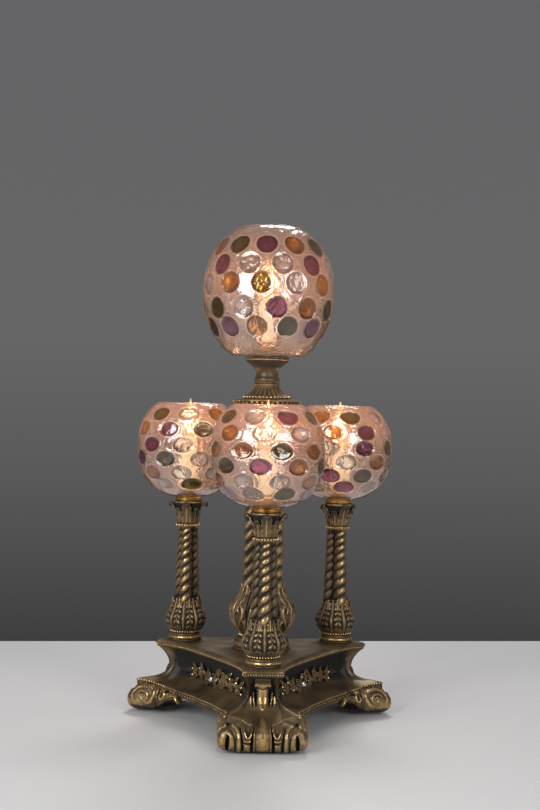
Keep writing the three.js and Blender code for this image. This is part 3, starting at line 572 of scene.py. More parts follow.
ROPE_STARTS = 2  # strands laid up in each rope
OUTER_COLUMN = {
    "foot": 18.8, "foot_height": 8.5, "vase_top": 43, "scale": 1.0,
    "vase": ((16.4, 8.5), (20.9, 14.0), (23.8, 20), (24.8, 25), (23.0, 30.4), (19.8, 36.4), (17.4, 42), (14.8, 48.5)),
    "ropes": 3, "rope_low": 16.9, "rope_high": 13.0, "rope_top": 131, "strands": 9, "growth": 1.7,
    "bead": 13.9, "bead_size": 1.25, "beads": 26, "groove": 1.0,
}
CENTRE_COLUMN = {
    "foot": 32, "foot_height": 13, "vase_top": 67, "scale": 1.45,
    "vase": ((24.5, 13), (27.6, 19), (33.4, 26), (37.2, 34), (38.4, 42), (37.2, 49.5), (33, 56.5), (27.6, 63),
             (25.4, 69), (22.5, 76)),
    "ropes": 6, "rope_low": 24.8, "rope_high": 23.6, "rope_top": 242, "strands": 14, "growth": 1.2,
    "bead": 24.6, "bead_size": 1.8, "beads": 36, "groove": 1.7,
}
COLUMN_TURNS = {"front": 2.0, "right": 22.0, "left": -5.0, "centre": 0.0}
VASE_RIBS = 9
HUSK = {"pitch": 6.9, "out": 2.5, "long": 3.4, "wide": 1.8, "tilt": 36.0}


def strand_at(up, facts):
    """How many strands lie below a height on the ropes. Each strand is a little lower than the one beneath."""
    share = (up - facts["vase_top"]) / (facts["rope_top"] - facts["vase_top"])
    growth = facts["growth"]
    root = math.sqrt(max(0.0, growth ** 2 - share * (growth ** 2 - 1)))
    return facts["strands"] * (growth - root) / (growth - 1)


def rope(form, centre, turn, facts, low):
    """One upright rope of a cluster: strands laid up round each other, climbing to the right. Its grooves are painted
    dark as shade, and its gilt wear is narrowed to the crests facing out as painted glints.
    """
    bulk = math.sin(math.pi / facts["ropes"]) / (1 + math.sin(math.pi / facts["ropes"]))
    around = np.arange(44) * 2 * math.pi / 44
    depth = sizes().strand_depth / MM * facts["groove"]
    bottom, top = facts["vase_top"] - 5 * facts["scale"], facts["rope_top"] + 1
    rings, wear_and_shade = [], []
    for up in np.linspace(bottom, top, round((top - bottom) / (0.8 * facts["scale"]))):
        share = (up - facts["vase_top"]) / (facts["rope_top"] - facts["vase_top"])
        full = facts["rope_low"] + (facts["rope_high"] - facts["rope_low"]) * share
        strand = (strand_at(up, facts) - ROPE_STARTS * around / (2 * math.pi)) % 1
        crest = np.sqrt(np.clip(1 - (2.1 * np.abs(strand - 0.5)) ** 2, 0, 1))
        radius = full * bulk - depth * (1 - crest)
        out, side = full * (1 - bulk) + radius * np.cos(around), radius * np.sin(around)
        rings.append(np.stack([centre[0] + out * math.sin(turn) + side * math.cos(turn),
                               centre[1] - out * math.cos(turn) + side * math.sin(turn),
                               np.full(len(around), low + up)], 1))
        # Grooves are painted dark as shade; gilt wear is narrowed to the crests facing out as painted glints.
        wear_and_shade.append(np.where(crest < 0.5, -0.3, 0.95 * crest ** 5 * np.clip(np.cos(around), 0, 1) ** 2.5))
    form.skin(rings, wear_and_shade)


def husk_relief(across, up, scale):
    """Paired husks that hang from a stem, each a raised drop that points up to the stem."""
    tilt = math.radians(HUSK["tilt"])
    out = across / scale - HUSK["out"]
    step = (up / scale / HUSK["pitch"]) % 1 - 0.5
    rise = step * HUSK["pitch"]
    along = out * math.sin(tilt) - rise * math.cos(tilt)
    aside = out * math.cos(tilt) + rise * math.sin(tilt)
    wide = HUSK["wide"] * (1 + 0.2 * along / HUSK["long"])
    drop = np.sqrt(np.clip(1 - (along / HUSK["long"]) ** 2 - (aside / wide) ** 2, 0, 1))
    stem = 0.5 * np.clip(1 - (across / scale / 0.6) ** 2, 0, 1)
    return np.maximum(drop, stem)


def ribbed_vase(angle, up, radius, facts):
    """Share of full relief on an outer vase, and how bright it is: smooth ribs, and between them husks over reeds. The
    low gaps are painted dark as shade.
    """
    sector = 2 * math.pi / VASE_RIBS
    across = np.abs((angle + sector / 2) % sector - sector / 2) * radius
    rib_half = 1.0 + 1.2 * smooth_share(up, 10, 26) - 0.5 * smooth_share(up, 36, 46)
    rib = np.sqrt(np.clip(1 - (across / rib_half) ** 2, 0, 1))
    husks = husk_relief(sector * radius / 2 - across, up + 1.5, 0.72 + 0.28 * radius / 24.8)
    reeds = np.abs(np.sin(1.5 * VASE_RIBS * angle + math.pi / 2)) ** 0.7 * 0.75
    low_part = 1 - smooth_share(up, 15, 18.5)
    between = husks * (1 - low_part) + reeds * low_part
    share = np.maximum(rib, between * 0.95)
    # Gaps below a fifth of full relief are painted dark as shade.
    return share, np.where(share < 0.2, -0.3, np.where(share > between, 0.42, 0.8) * share ** 3)


LEAF_STROKES = (
    (2.6, 0.75, ((0, 12, 1.6), (0, 40, 1.9), (0, 62, 1.5), (0, 78, 0.8))),
    (2.3, 0.6, ((1.5, 13, 0.8), (8, 17, 2.0), (14, 23, 2.2), (17, 30, 1.6), (14.6, 33.6, 1.0))),
    (2.6, 0.7, ((2.4, 24, 0.9), (9, 31, 2.2), (14.4, 39, 2.6), (14, 47.6, 2.2), (9.4, 50.6, 1.7), (7.2, 46.4, 1.2),
                (9.6, 43, 0.8))),
    (2.2, 0.6, ((2.0, 41, 0.8), (6.6, 50, 1.7), (9.6, 58, 1.8), (8.2, 64.6, 1.4), (5.0, 63.6, 0.8))),
    (1.8, 0.6, ((1.6, 56, 0.7), (4.4, 64, 1.4), (5.4, 72, 1.0))),
    (-2.0, 0, ((19.5, 14, 0.8), (19.5, 40, 1.6), (17, 58, 1.4), (13, 76, 1.0))),
)


def leafy_vase(angle, up, radius, facts):
    """Relief on the centre vase: six broad leaves, whose lobes sweep out from a rib and curl in at their ends."""
    sector = 2 * math.pi / facts["ropes"]
    across = np.abs((angle + sector / 2) % sector - sector / 2) * 38.4
    relief, bright = stroked(across, np.full(len(angle), up), LEAF_STROKES)
    return relief / 2.6, bright


def column(name, facts, columns, relief):
    """A cast column: moulded foot, carved vase, a cluster of ropes round a core, and a ring of beads."""
    low, high = span(f"{name}_column")
    centre = middle(f"{name}_column")
    start = math.radians(COLUMN_TURNS[name])
    scale = facts["foot_height"] / OUTER_COLUMN["foot_height"]
    foot, neck, top, depth = facts["foot"], facts["vase"][0][0], facts["vase_top"], sizes().carving / MM * facts["scale"]
    core = facts["rope_high"] * (1 - math.sin(math.pi / facts["ropes"]) / (1 + math.sin(math.pi / facts["ropes"])))
    # Values below zero paint shade: in the foot's grooves, at the neck and on the core between the ropes.
    profile = [(BORE, 0), (foot - 1, 0), (foot - 0.2, 0.5, 0.4), (foot - 0.2, 1.1 * scale, 0.3),
               (foot - 1.4, 1.5 * scale, -0.2)]
    profile += half_round(foot - 2, 1.7 * scale, 6.0 * scale, 2.1, 0.85)
    profile += [(foot - 2.2, 6.4 * scale, -0.3), (foot - 1.7, 6.9 * scale), (foot - 1.9, 7.6 * scale),
                (neck, facts["foot_height"], -0.2)]
    profile += eased(facts["vase"], 0.55 * facts["scale"])[1:]
    profile += [(core, facts["vase"][-1][1] + 0.5, -0.3), (core, facts["rope_top"] + 0.5, -0.3)]
    profile += half_round(facts["rope_high"] * 0.93, facts["rope_top"], high - low - 0.6, facts["scale"] * 0.9, 0.4)
    profile += [(facts["rope_high"] * 0.9, high - low), (BORE, high - low)]
    profile = [(radius, low + up, *bright) for radius, up, *bright in profile]

    def carve(angle, radii, heights, wear_and_shade):
        up = heights[0] - low
        if facts["foot_height"] < up < facts["vase"][-1][1] and radii[0] > core:
            share, bright = relief(angle - start, up, radii[0], facts)
            ends = smooth_share(up, facts["foot_height"], facts["foot_height"] + 3 * facts["scale"])
            radii = radii - depth * (1 - share * ends)
            wear_and_shade = bright * (0.4 + 0.6 * ends)
        return radii, heights, wear_and_shade

    form = Form()
    turned(form, profile, columns, centre, carve)
    for at in range(facts["ropes"]):
        rope(form, centre, start + at * 2 * math.pi / facts["ropes"], facts, low)
    pearls = 4 * VASE_RIBS
    for count, ring, height, size in (
            (facts["beads"], facts["bead"] - 0.5, high - low - facts["bead_size"] - 0.9, facts["bead_size"]),
            (pearls, neck + 0.9, facts["foot_height"] + 1.9 * facts["scale"], 1.2 * facts["scale"])):
        for bead in range(count):
            angle = start + (bead + 0.5) * 2 * math.pi / count
            spot = (centre[0] + ring * math.sin(angle), centre[1] - ring * math.cos(angle), low + height)
            form.bead(spot, size, 0.9)
    tips = 2 * facts["ropes"] if facts["ropes"] > 3 else VASE_RIBS
    wide = facts["rope_low"]
    for at in range(tips):
        blade(form, centre, start + (at + 0.5) * 2 * math.pi / tips,
              [(wide * 1.06, top - 5), (wide * 1.01, top), (wide * 0.99, top + 4), (wide * 0.97, top + 7)],
              [2.4, 3.0, 2.0, 0.3], facts["scale"], low, 0.9)
    form.piece(f"{name}_rope_column", bronze(), (f"{name}_column",))


def blade(form, centre, angle, spine, widths, scale, low, thick=1.2, rib=0.9, cup=0.0, lobes=0):
    """Adds a leaf that stands against a round body, its spine given by radius and height."""
    spots = [(centre[0] + radius * math.sin(angle), centre[1] - radius * math.cos(angle), low + up)
             for radius, up in eased(spine, scale)]
    side = (math.cos(angle), math.sin(angle), 0.0)
    form.leaf(spots, side, [width * scale for width in widths], thick * scale, rib * scale, cup * scale, lobes=lobes)


def capital(name, bottom, leaf, top, main, scale):
    """A capital: a bell wrapped in leaves whose tips curl over below a round abacus, with small leaves between."""
    low, high = span(f"{name}_capital")
    centre = middle(f"{name}_capital")
    tall = high - low
    start = math.radians(COLUMN_TURNS[name])
    bell = eased([(bottom - 0.9, 0.6), (bottom - 0.8, 0.35 * tall), (bottom + 0.4, 0.6 * tall),
                  (bottom + 3.2, 0.82 * tall), (top - 0.4, 0.9 * tall)], 1.2)
    # Values below zero paint shade: in the groove under the foot ring and on the bell behind the leaves.
    profile = [(BORE, 0), (bottom - 0.6, 0), (bottom + 0.2, 0.6, 0.4), (bottom - 0.6, 1.6, -0.3)]
    profile += [(radius, up, -0.3) for radius, up in bell[1:]]
    profile += half_round(top - 0.3, 0.9 * tall, tall - 0.1, 0.8, 0.5) + [(top - 0.8, tall), (BORE, tall)]
    form = Form()
    turned(form, [(radius, low + up, *bright) for radius, up, *bright in profile], 96, centre)
    reach = leaf - bottom
    for at in range(main):
        angle = start + at * 2 * math.pi / main
        blade(form, centre, angle, [(bottom + out * reach, up * tall) for out, up in (
            (-0.02, 0.03), (0.02, 0.3), (0.16, 0.5), (0.46, 0.7), (0.8, 0.84), (1.0, 0.9), (1.08, 0.84), (1.02, 0.73))],
            [4.4, 5.0, 5.4, 5.8, 5.6, 5.0, 4.0, 2.6], scale, low, 1.9, 1.3, 0.7, 4)
        between = angle + math.pi / main
        blade(form, centre, between, [(bottom + out * reach, up * tall) for out, up in (
            (-0.02, 0.03), (0.0, 0.26), (0.1, 0.44), (0.32, 0.6), (0.52, 0.68), (0.6, 0.63), (0.55, 0.54))],
            [3.6, 4.0, 4.2, 4.1, 3.6, 2.8, 1.8], scale, low, 1.6, 1.1, 0.6, 3)
        for way in (-0.5, 0.5):
            blade(form, centre, between + way * math.pi / main, [(bottom + out * reach, up * tall) for out, up in (
                (0.0, 0.03), (0.03, 0.16), (0.1, 0.3), (0.22, 0.38), (0.26, 0.33))],
                [2.2, 2.5, 2.3, 1.7, 0.9], scale, low, 1.2)
    form.piece(f"{name}_leaf_capital", bronze(), (f"{name}_capital",))


class BuildColumns(bpy.types.Operator):
    """Four rope-cluster columns with their carved vases and leafy capitals"""

    bl_idname = "lamp.build_columns"
    bl_label = "Build Columns"

    def execute(self, context):
        for name in OUTER_LIGHTS:
            column(name, OUTER_COLUMN, 324, ribbed_vase)
            capital(name, 11.9, 20.4, 16.4, 4, 1.0)
        column("centre", CENTRE_COLUMN, 384, leafy_vase)
        capital("centre", 22, 33, 27, 6, 1.5)
        return {"FINISHED"}


# Pedestal of the top globe


class BuildPedestal(bpy.types.Operator):
    """Dish, gadrooned flare, smooth collar and cup under the top globe"""

    bl_idname = "lamp.build_pedestal"
    bl_label = "Build Pedestal"

    def execute(self, context):
        self.dish()
        self.flare()
        self.cup()
        dress("collar_screw", finish("brass", turned_brass))
        return {"FINISHED"}

    def dish(self):
        low, high = span("pedestal_flange")
        teeth, rim = 40, 39.6

        def dentils(angle, radii, heights, wear_and_shade):
            if radii[0] > 34 and heights[0] < low + 3:
                tooth = np.clip(1.8 * np.cos(teeth * angle), -1, 1)
                radii = radii - 0.9 * (0.5 - 0.5 * tooth)
                # Gaps between the teeth are painted dark as shade.
                wear_and_shade = -0.3 + 0.85 * (tooth > 0)
            return radii, heights, wear_and_shade

        profile = [(BORE, low), (30, low), (35.5, low), (37.5, low + 0.5)]
        profile += [(38.2 + 0.1 * step, low + 1.0 + 0.3 * step) for step in range(7)]
        profile += half_round(rim - 1, low + 3.1, low + 4.5, 1, 0.5)
        profile += [(38, low + 4.9, 0.2), (30, high - 0.2), (28, high), (BORE, high)]
        form = Form()
        turned(form, profile, 320, LAMP_AXIS, dentils)
        form.piece("pedestal_dish", bronze(), ("pedestal_flange",))

    def flare(self):
        low, high = span("pedestal_flare")
        top = low + 14

        def gadroons(angle, radii, heights, wear_and_shade):
            if radii[0] > 13.6 and low + 2.2 < heights[0] < top - 0.6:
                lobes = np.abs(np.sin(12 * angle)) ** 0.7
                radii = radii - (1 - lobes) * radii[0] * 0.085
                # Hollows between the lobes are painted dark as shade.
                wear_and_shade = 0.6 * lobes ** 3 - 0.35 * (1 - lobes)
            return radii, heights, wear_and_shade

        profile = [(BORE, low), (27.4, low), (27.6, low + 0.8), (27.2, low + 1.8)]
        profile += eased([(26.4, low + 2.3), (22, low + 5), (17.2, low + 9), (13.6, top - 0.5)], 0.7)
        profile += [(13.2, top), (13.9, top + 0.5, 0.3)]
        profile += half_round(13.9, top + 0.7, top + 3.2, 0.8, 0.45) + [(13.6, top + 3.5, 0.0)]
        profile += half_round(13.7, top + 3.8, high - 0.2, 0.9, 0.35) + [(BORE, high)]
        form = Form()
        turned(form, profile, 288, LAMP_AXIS, gadroons)
        for bead in range(40):
            angle = bead * 2 * math.pi / 40
            form.bead((LAMP_AXIS[0] + 27 * math.sin(angle), LAMP_AXIS[1] - 27 * math.cos(angle), low + 1.9), 1.5, 0.85)
        form.piece("pedestal_gadrooned_flare", bronze(), ("pedestal_flare",))

    def cup(self):
        low, high = span("pedestal_cup")
        tall = high - low
        profile = [(BORE, low)] + eased([
            (14.4, low), (14.3, low + 0.08 * tall), (12.7, low + 0.2 * tall), (12.5, low + 0.36 * tall),
            (15, low + 0.54 * tall), (20.6, low + 0.7 * tall), (24.0, low + 0.80 * tall)], 0.8)
        profile = [(*point[:2], 0.36 - 0.56 * smooth_share(point[1], low + 0.3 * tall, low + 0.6 * tall))
                   for point in profile]
        profile += [(23.2, low + 0.81 * tall, -0.3)] + half_round(23.4, low + 0.82 * tall, low + 0.9 * tall, 1.3, 0.65)
        profile += [(23.5, low + 0.905 * tall, -0.3)] + half_round(23.5, low + 0.91 * tall, high - 0.2, 1.2, 0.4)
        profile += [(24, high), (22.2, high), (19.7, high - 5), (BORE, high - 5)]
        form = Form()
        turned(form, profile, 160, LAMP_AXIS)
        form.piece("pedestal_turned_cup", bronze(), ("pedestal_cup",))


# Globes

TONES = {"C": 0.1, "O": 0.33, "P": 0.58, "A": 0.85}
CLEAR_REACH = 3.0  # reach of a point that lies on no dot
TOP_GLOBE = {
    "height": 144.8, "radius": 74.7, "belly": 72, "foot": 42, "mouth": 38.5, "fullness": 2.1, "wall": 3.4, "nubs": 1.5,
    "around": 12, "rows": ((121, -4, "PAO"), (99, 11, "CPC"), (78, -7, "OCA"), (51, 6, "PAOC"), (30, -12, "AOP")),
}
OUTER_ROWS = ((97, 42), (80, 25), (62, 9), (46, -8), (30, -25), (17, -41))
OUTER_GLOBE = {
    "height": 110, "radius": 61.2, "belly": 57.7, "foot": 17, "mouth": 38, "fullness": 2.4, "wall": 3.2, "nubs": 0,
    "around": 9,
}
DOT_ORDERS = {
    "front": ((-57, "OCP"), (-5, "CCA"), (-27, "AOA"), (-48, "OPA"), (-67, "ACC"), (-58, "PCO")),
    "left": ((-40, "OCA"), (-23, "POA"), (-5, "CAP"), (-26, "OCP"), (-47, "ACC"), (-34, "COA")),
    "right": ((9, "OCA"), (28, "PCA"), (-15, "CPO"), (3, "CAO"), (25, "OCP"), (2, "PCC")),
}


def globe_radius(size, height):
    """Radius of a globe at a height: a full round above and below its belly, cut off at foot and mouth."""
    above = height > size["belly"]
    end = size["mouth"] if above else size["foot"]
    reach = size["height"] - size["belly"] if above else size["belly"]
    drop = (1 - (end / size["radius"]) ** size["fullness"]) ** (1 / size["fullness"])
    share = min(1, abs(height - size["belly"]) / reach * drop)
    return size["radius"] * (1 - share ** size["fullness"]) ** (1 / size["fullness"])


def dot_field(size, rows, height, angle, width, tall):
    """How far each point of a ring lies from its nearest dot's middle, in shares of the dot, and that dot's tone."""
    radius = globe_radius(size, height)
    step = 2 * math.pi / size["around"]
    nearest = np.full(len(angle), 9.0)
    tone = np.full(len(angle), TONES["C"])
    lean = (globe_radius(size, height + 1) - globe_radius(size, height - 1)) / 2
    for level, phase, order in rows:
        start = math.radians(phase)
        turn = (angle - start + step / 2) % (2 * math.pi)
        index = np.floor(turn / step).astype(int)
        across = (turn - index * step - step / 2) * radius
        rise = (height - level) * math.hypot(1, min(1.2, abs(lean)))
        reach = np.hypot(across / (width / 2), rise / (tall / 2))
        tones = np.array([TONES[order[i % len(order)]] for i in range(size["around"])])[index % size["around"]]
        closer = reach < nearest
        nearest = np.where(closer, reach, nearest)
        tone = np.where(closer, tones, tone)
    return nearest, tone


def globe(name, size, rows, width, tall):
    """A blown globe with coin dots pressed in, each a flat face, set in a little, with a raised rim."""
    low, _ = span(f"{name}_globe")
    centre = middle(f"{name}_globe")
    columns = 240
    press, flush = sizes().dot_press / MM, width * tall / (8 * size["radius"])
    angle = np.arange(columns) * 2 * math.pi / columns
    rings, reaches, tones = [], [], []

    def ring(radii, height, reach=CLEAR_REACH, tone=TONES["C"]):
        radii = np.broadcast_to(radii, columns)
        rings.append(np.stack([centre[0] + radii * np.sin(angle), centre[1] - radii * np.cos(angle),
                               np.full(columns, low + height)], 1))
        reaches.append(np.broadcast_to(reach, columns))
        tones.append(np.broadcast_to(tone, columns))

    ring(BORE, 0)
    ring(size["foot"] - 1.5, 0)
    for height in np.linspace(1.2, size["height"] - 2.2, 96):
        reach, tone = dot_field(size, rows, height, angle, width, tall)
        dish = (0.6 * press + 0.6 * flush * (0.6 - np.clip(reach, 0, 1) ** 2)) * smooth_share(1 - reach, 0, 0.14)
        lip = 0.9 * np.exp(-((reach - 1.07) / 0.08) ** 2)
        nubs = size["nubs"] * np.exp(-((height - 9) / 2.4) ** 2) * np.clip(np.cos(16 * angle), 0, 1) ** 3
        ring(globe_radius(size, height) - 0.8 - dish + lip + nubs, height, reach, tone)
    mouth, wall = size["mouth"], size["wall"]
    for out, up in ((0.2, 1.2), (0.3, 0.5), (-0.6, 0.05), (-wall / 2, 0), (-wall + 0.5, 0.3), (-wall, 1.2)):
        ring(mouth + out, size["height"] - up)
    for height in np.linspace(size["height"] - 5, wall + 1.5, 80):
        reach, tone = dot_field(size, rows, height, angle, width, tall)
        dish = press * 2.2 * np.clip(1 - reach ** 2, 0, 1)
        sag = 0.5 * np.sin(5 * angle + height / 6) * np.sin(height / 9 + 2 * np.sin(3 * angle))
        ring(globe_radius(size, height) - wall - 0.3 - dish + sag, height, reach, tone)
    ring(size["foot"] - 2, wall)
    ring(BORE, wall)
    rings = np.array(rings)
    form = Form()
    form.skin(rings, 0, looped=True)
    made = form.piece(f"{name}_coin_dot_globe", finish("glass", lustre_glass), (f"{name}_globe",))
    bulb = np.array([*centre, sum(span(f"{name}_bulb_glass")) / 2])
    away = np.linalg.norm((rings.reshape(-1, 3) - bulb) / np.array([1, 1, 0.55]), axis=1)
    # bulb_glow: painted glow of the bulb's light, strongest on the glass nearest the bulb.
    glow = np.clip(1.7 - away / size["radius"], 0, 1) ** 3 * 0.5
    for label, values in (("dot_reach", reaches), ("dot_tone", tones), ("bulb_glow", glow)):
        attribute = made.data.attributes.new(label, "FLOAT", "POINT")
        attribute.data.foreach_set("value", np.array(values).ravel().astype(np.float32))


class BuildGlobes(bpy.types.Operator):
    """The four coin-dot globes"""

    bl_idname = "lamp.build_globes"
    bl_label = "Build Globes"

    def execute(self, context):
        dot = sizes().top_dot / MM
        globe("top", TOP_GLOBE, TOP_GLOBE["rows"], dot, dot)
        for name in OUTER_LIGHTS:
            rows = [(level, phase, order) for (level, _), (phase, order) in zip(OUTER_ROWS, DOT_ORDERS[name])]
            globe(name, OUTER_GLOBE, rows, sizes().dot_width / MM, sizes().dot_height / MM)
        return {"FINISHED"}


# Candle lights


def candle_light(name):
    """Socket, paper tube and a lit flame-shaped bulb."""
    centre = middle(f"{name}_candle_sleeve")
    body = f"{name}_bulb"
    low, high = span(f"{name}_candle_sleeve")
    outer, wall = 10.95, 1.2
    form = Form()
    turned(form, [(outer - wall, low), (outer, low), (outer, high - 0.4), (outer - 0.4, high), (outer - wall, high)],
           64, centre)
    form.piece(f"{name}_paper_tube", finish("card", candle_card), (f"{name}_candle_sleeve",))
    low, high = span(f"{name}_bulb_glass")
    tall = high - low
    radius, glass = 13.7, 0.9
    outline = eased([(7.4, low), (0.86 * radius, low + 0.22 * tall), (radius, low + 0.4 * tall),
                     (0.7 * radius, low + 0.62 * tall), (0.2 * radius, low + 0.84 * tall), (0.7, high - 0.3)], 1.6)
    inner = [(max(out - glass, 0.5), up) for out, up in reversed(outline[:-2])]
    form = Form()
    turned(form, outline + inner, 56, centre)
    form.piece(f"{name}_flame_glass", finish("bulb", bulb_glass), (f"{name}_bulb_glass",), body)
    form = Form()
    spots = [(centre[0], centre[1], low + share * tall) for share in (0.26, 0.3, 0.6, 0.64)]
    form.tube(spots, [0.6, 1.6, 1.3, 0.5])
    form.piece(f"{name}_filament", finish("wire", glowing_wire), body=body)
    dress(f"{name}_bulb_base", finish("screw", screw_brass))
    dress(f"{name}_socket", finish("phenolic", moulded_phenolic))
    low, high = span(f"{name}_globe_nut")
    ring = 12.3
    form = Form()
    turned(form, [(BORE, low), (ring, low), (ring, low + 3.4), (ring - 0.9, low + 3.9), (ring - 0.9, high - 1.2),
                  (ring - 1.8, high), (BORE, high)], 64, centre)
    form.piece(f"{name}_turned_nut", finish("brass", turned_brass), (f"{name}_globe_nut",))


class BuildLights(bpy.types.Operator):
    """Candle tubes, sockets, bulbs and the turned rings that hold the globes"""

    bl_idname = "lamp.build_lights"
    bl_label = "Build Lights"

    def execute(self, context):
        for name in LIGHTS:
            candle_light(name)
        for name in OUTER_LIGHTS:
            low, high = span(f"{name}_globe_seat")
            ring = 15.9
            form = Form()
            turned(form, [(BORE, low), (ring - 1.4, low), (ring - 0.7, low + 1), (ring - 1.2, low + 1.6),
                          (ring, low + 2.3), (ring, high), (BORE, high)], 72, middle(f"{name}_globe_seat"))
            form.piece(f"{name}_turned_seat", finish("brass", turned_brass), (f"{name}_globe_seat",))
            dress(f"{name}_rod", finish("steel", plated_steel))
            dress(f"{name}_rod_nut", finish("steel", plated_steel))
            dress(f"foot_pad_{name}", finish("felt", pressed_felt))
        dress("centre_rod", finish("steel", plated_steel))
        dress("centre_rod_nut", finish("steel", plated_steel))
        dress("cord_bushing", finish("rubber", soft_rubber))
        return {"FINISHED"}


# Base: outlines are given by the middle of a side, a corner and its half width, how far the corner bows out, and
# how late a side turns out towards its corners

SLAB = {"side": 66, "corner": 129, "half": 22, "swell": 0, "bend": 4.2, "recess": 0}
WAIST = {"side": 55, "corner": 113, "half": 16.5, "swell": -8, "bend": 4.6, "recess": 4}
SKIRT = {"side": 77, "corner": 143, "half": 39.6, "swell": -6, "bend": 2.9, "recess": 0}
HOLLOW = {"side": 72, "corner": 112, "half": 33, "swell": 0, "bend": 2.9, "recess": 0}
SKIRT_BOTTOM, SKIRT_TOP, WAIST_HEIGHT, SLAB_BOTTOM, SLAB_TOP = 24, 32, 53, 75, 83
CEILING_THICK = 7
FOOT_LOW, FOOT_HEEL, BRACKET_TOP = 3.0, 113, 76.5
# Front of a foot and of the bracket that runs down on to it: height, distance from the lamp axis, half width
FOOT_FRONT = ((3, 147.5, 38), (4.5, 150.4, 42), (7, 152.8, 45), (10, 154.2, 46.6), (14, 155, 46.8), (19, 154.8, 46.4),
              (23, 153, 45.2), (26.5, 150, 42.5), (29.5, 146, 40), (32, 141.5, 35), (34.5, 135.5, 28),
              (37, 129.4, 22.5), (40, 124, 19), (46, 118.8, 16.4), (52, 116.4, 13), (58, 115.8, 9.6),
              (64, 116.4, 8.4), (72, 119, 8.2), (76.5, 120.5, 8.2))
# Strokes on one half of that face: how far each stands proud, or is cut where below zero, how bright it is rubbed,
# and its path: offset from the middle, height, half width
FACE_STROKES = (
    (2.0, 0.7, ((0, 0, 9.8), (0, 22, 9.4), (0, 32, 6))),
    (2.1, 1.1, ((0, 13, 6), (0, 23, 5.6))),
    (2.5, 0.6, ((8.7, 3, 0.8), (8.6, 20, 0.8), (7.6, 28, 0.5))),
    (-0.7, 0, ((7.1, 3, 0.6), (7.0, 20, 0.7), (6.0, 30, 0.4))),
    (-4.5, 0, ((11.2, 2, 1.7), (11.0, 12, 1.7), (10.2, 20, 1.2), (9.0, 28, 0.5))),
    (2.4, 0.5, ((15.4, 3, 4.0), (15.2, 9, 3.8))),
    (-1.6, 0, ((19, 13.0, 0.6), (15, 12.2, 0.8), (12, 12.8, 0.6))),
    (2.2, 0.8, ((18.8, 15.6, 1.2), (15, 14.8, 1.4), (12.2, 15.6, 1.2))),
    (2.6, 0.95, ((20.6, 29.4, 0.7), (18.4, 23.6, 1.3), (15.8, 18.4, 1.3), (13.8, 18.4, 1.3), (11.4, 22.8, 1.2),
                 (9.9, 27, 0.7))),
    (-3.0, 0, ((14.9, 27.4, 2.6), (14.9, 23.4, 1.9), (14.8, 20.6, 0.8))),
    (-1.4, 0, ((22.6, 32.6, 0.5), (17.5, 29.8, 1.0), (12.2, 28.6, 0.8))),
    (1.0, 0.6, ((23.4, 34.2, 0.5), (17.4, 31.6, 0.8), (11, 30.2, 0.6))),
    (-3.6, 0, ((20.8, 2, 1.1), (20.9, 12, 1.3), (21.8, 20, 1.1), (23.2, 27, 0.5))),
    (3.0, 0.85, ((24.4, 2, 2.8), (24.2, 15, 2.6), (25.0, 24, 2.9), (28.5, 28, 1.6), (34, 30, 0.8))),
    (-1.2, 0, ((28.0, 2, 0.5), (27.9, 12, 0.6), (29.4, 21, 0.5), (33, 26.4, 0.4))),
    (2.2, 0.6, ((31.8, 2, 3.2), (31.6, 14, 3.0), (32.6, 21, 3.0), (37.5, 24.2, 2.4))),
    (1.0, 0.6, ((41.8, 2, 5.0), (41.6, 14, 5.4), (39.6, 22, 4.0))),
    (-6.0, 0, ((36.6, 4, 1.2), (36.2, 12, 2.3), (35.6, 19.4, 1.2))),
    (-4.0, 0, ((41, 27.6, 1.0), (37, 29.2, 1.5), (32.6, 29.6, 0.8))),
    (1.8, 1.2, ((0, 59.4, 5.6), (0, 50, 5.4), (0, 44.5, 4.2), (0, 41.5, 1.8))),
    (-5.0, 0, ((7.8, 59.0, 1.7), (7.5, 50, 1.7), (6.6, 44, 0.6))),
    (-1.2, 0, ((0, 60.8, 0.6), (10.4, 60.8, 0.6))),
    (1.1, 0.95, ((0, 64.4, 1.9), (9.6, 64.4, 1.9))),
    (0.7, 0.3, ((0, 70.4, 2.4), (9.6, 70.4, 2.4))),
    (1.6, 0.85, ((9.4, 56.5, 0.7), (9.0, 50, 1.5), (8.2, 43.5, 0.5))),
    (-2.4, 0, ((10.9, 58, 0.5), (10.9, 50, 0.7), (10, 43.5, 0.3))),
    (1.6, 0.8, ((12.4, 54.5, 0.6), (12.7, 49, 1.6), (12, 42.5, 0.5))),
)
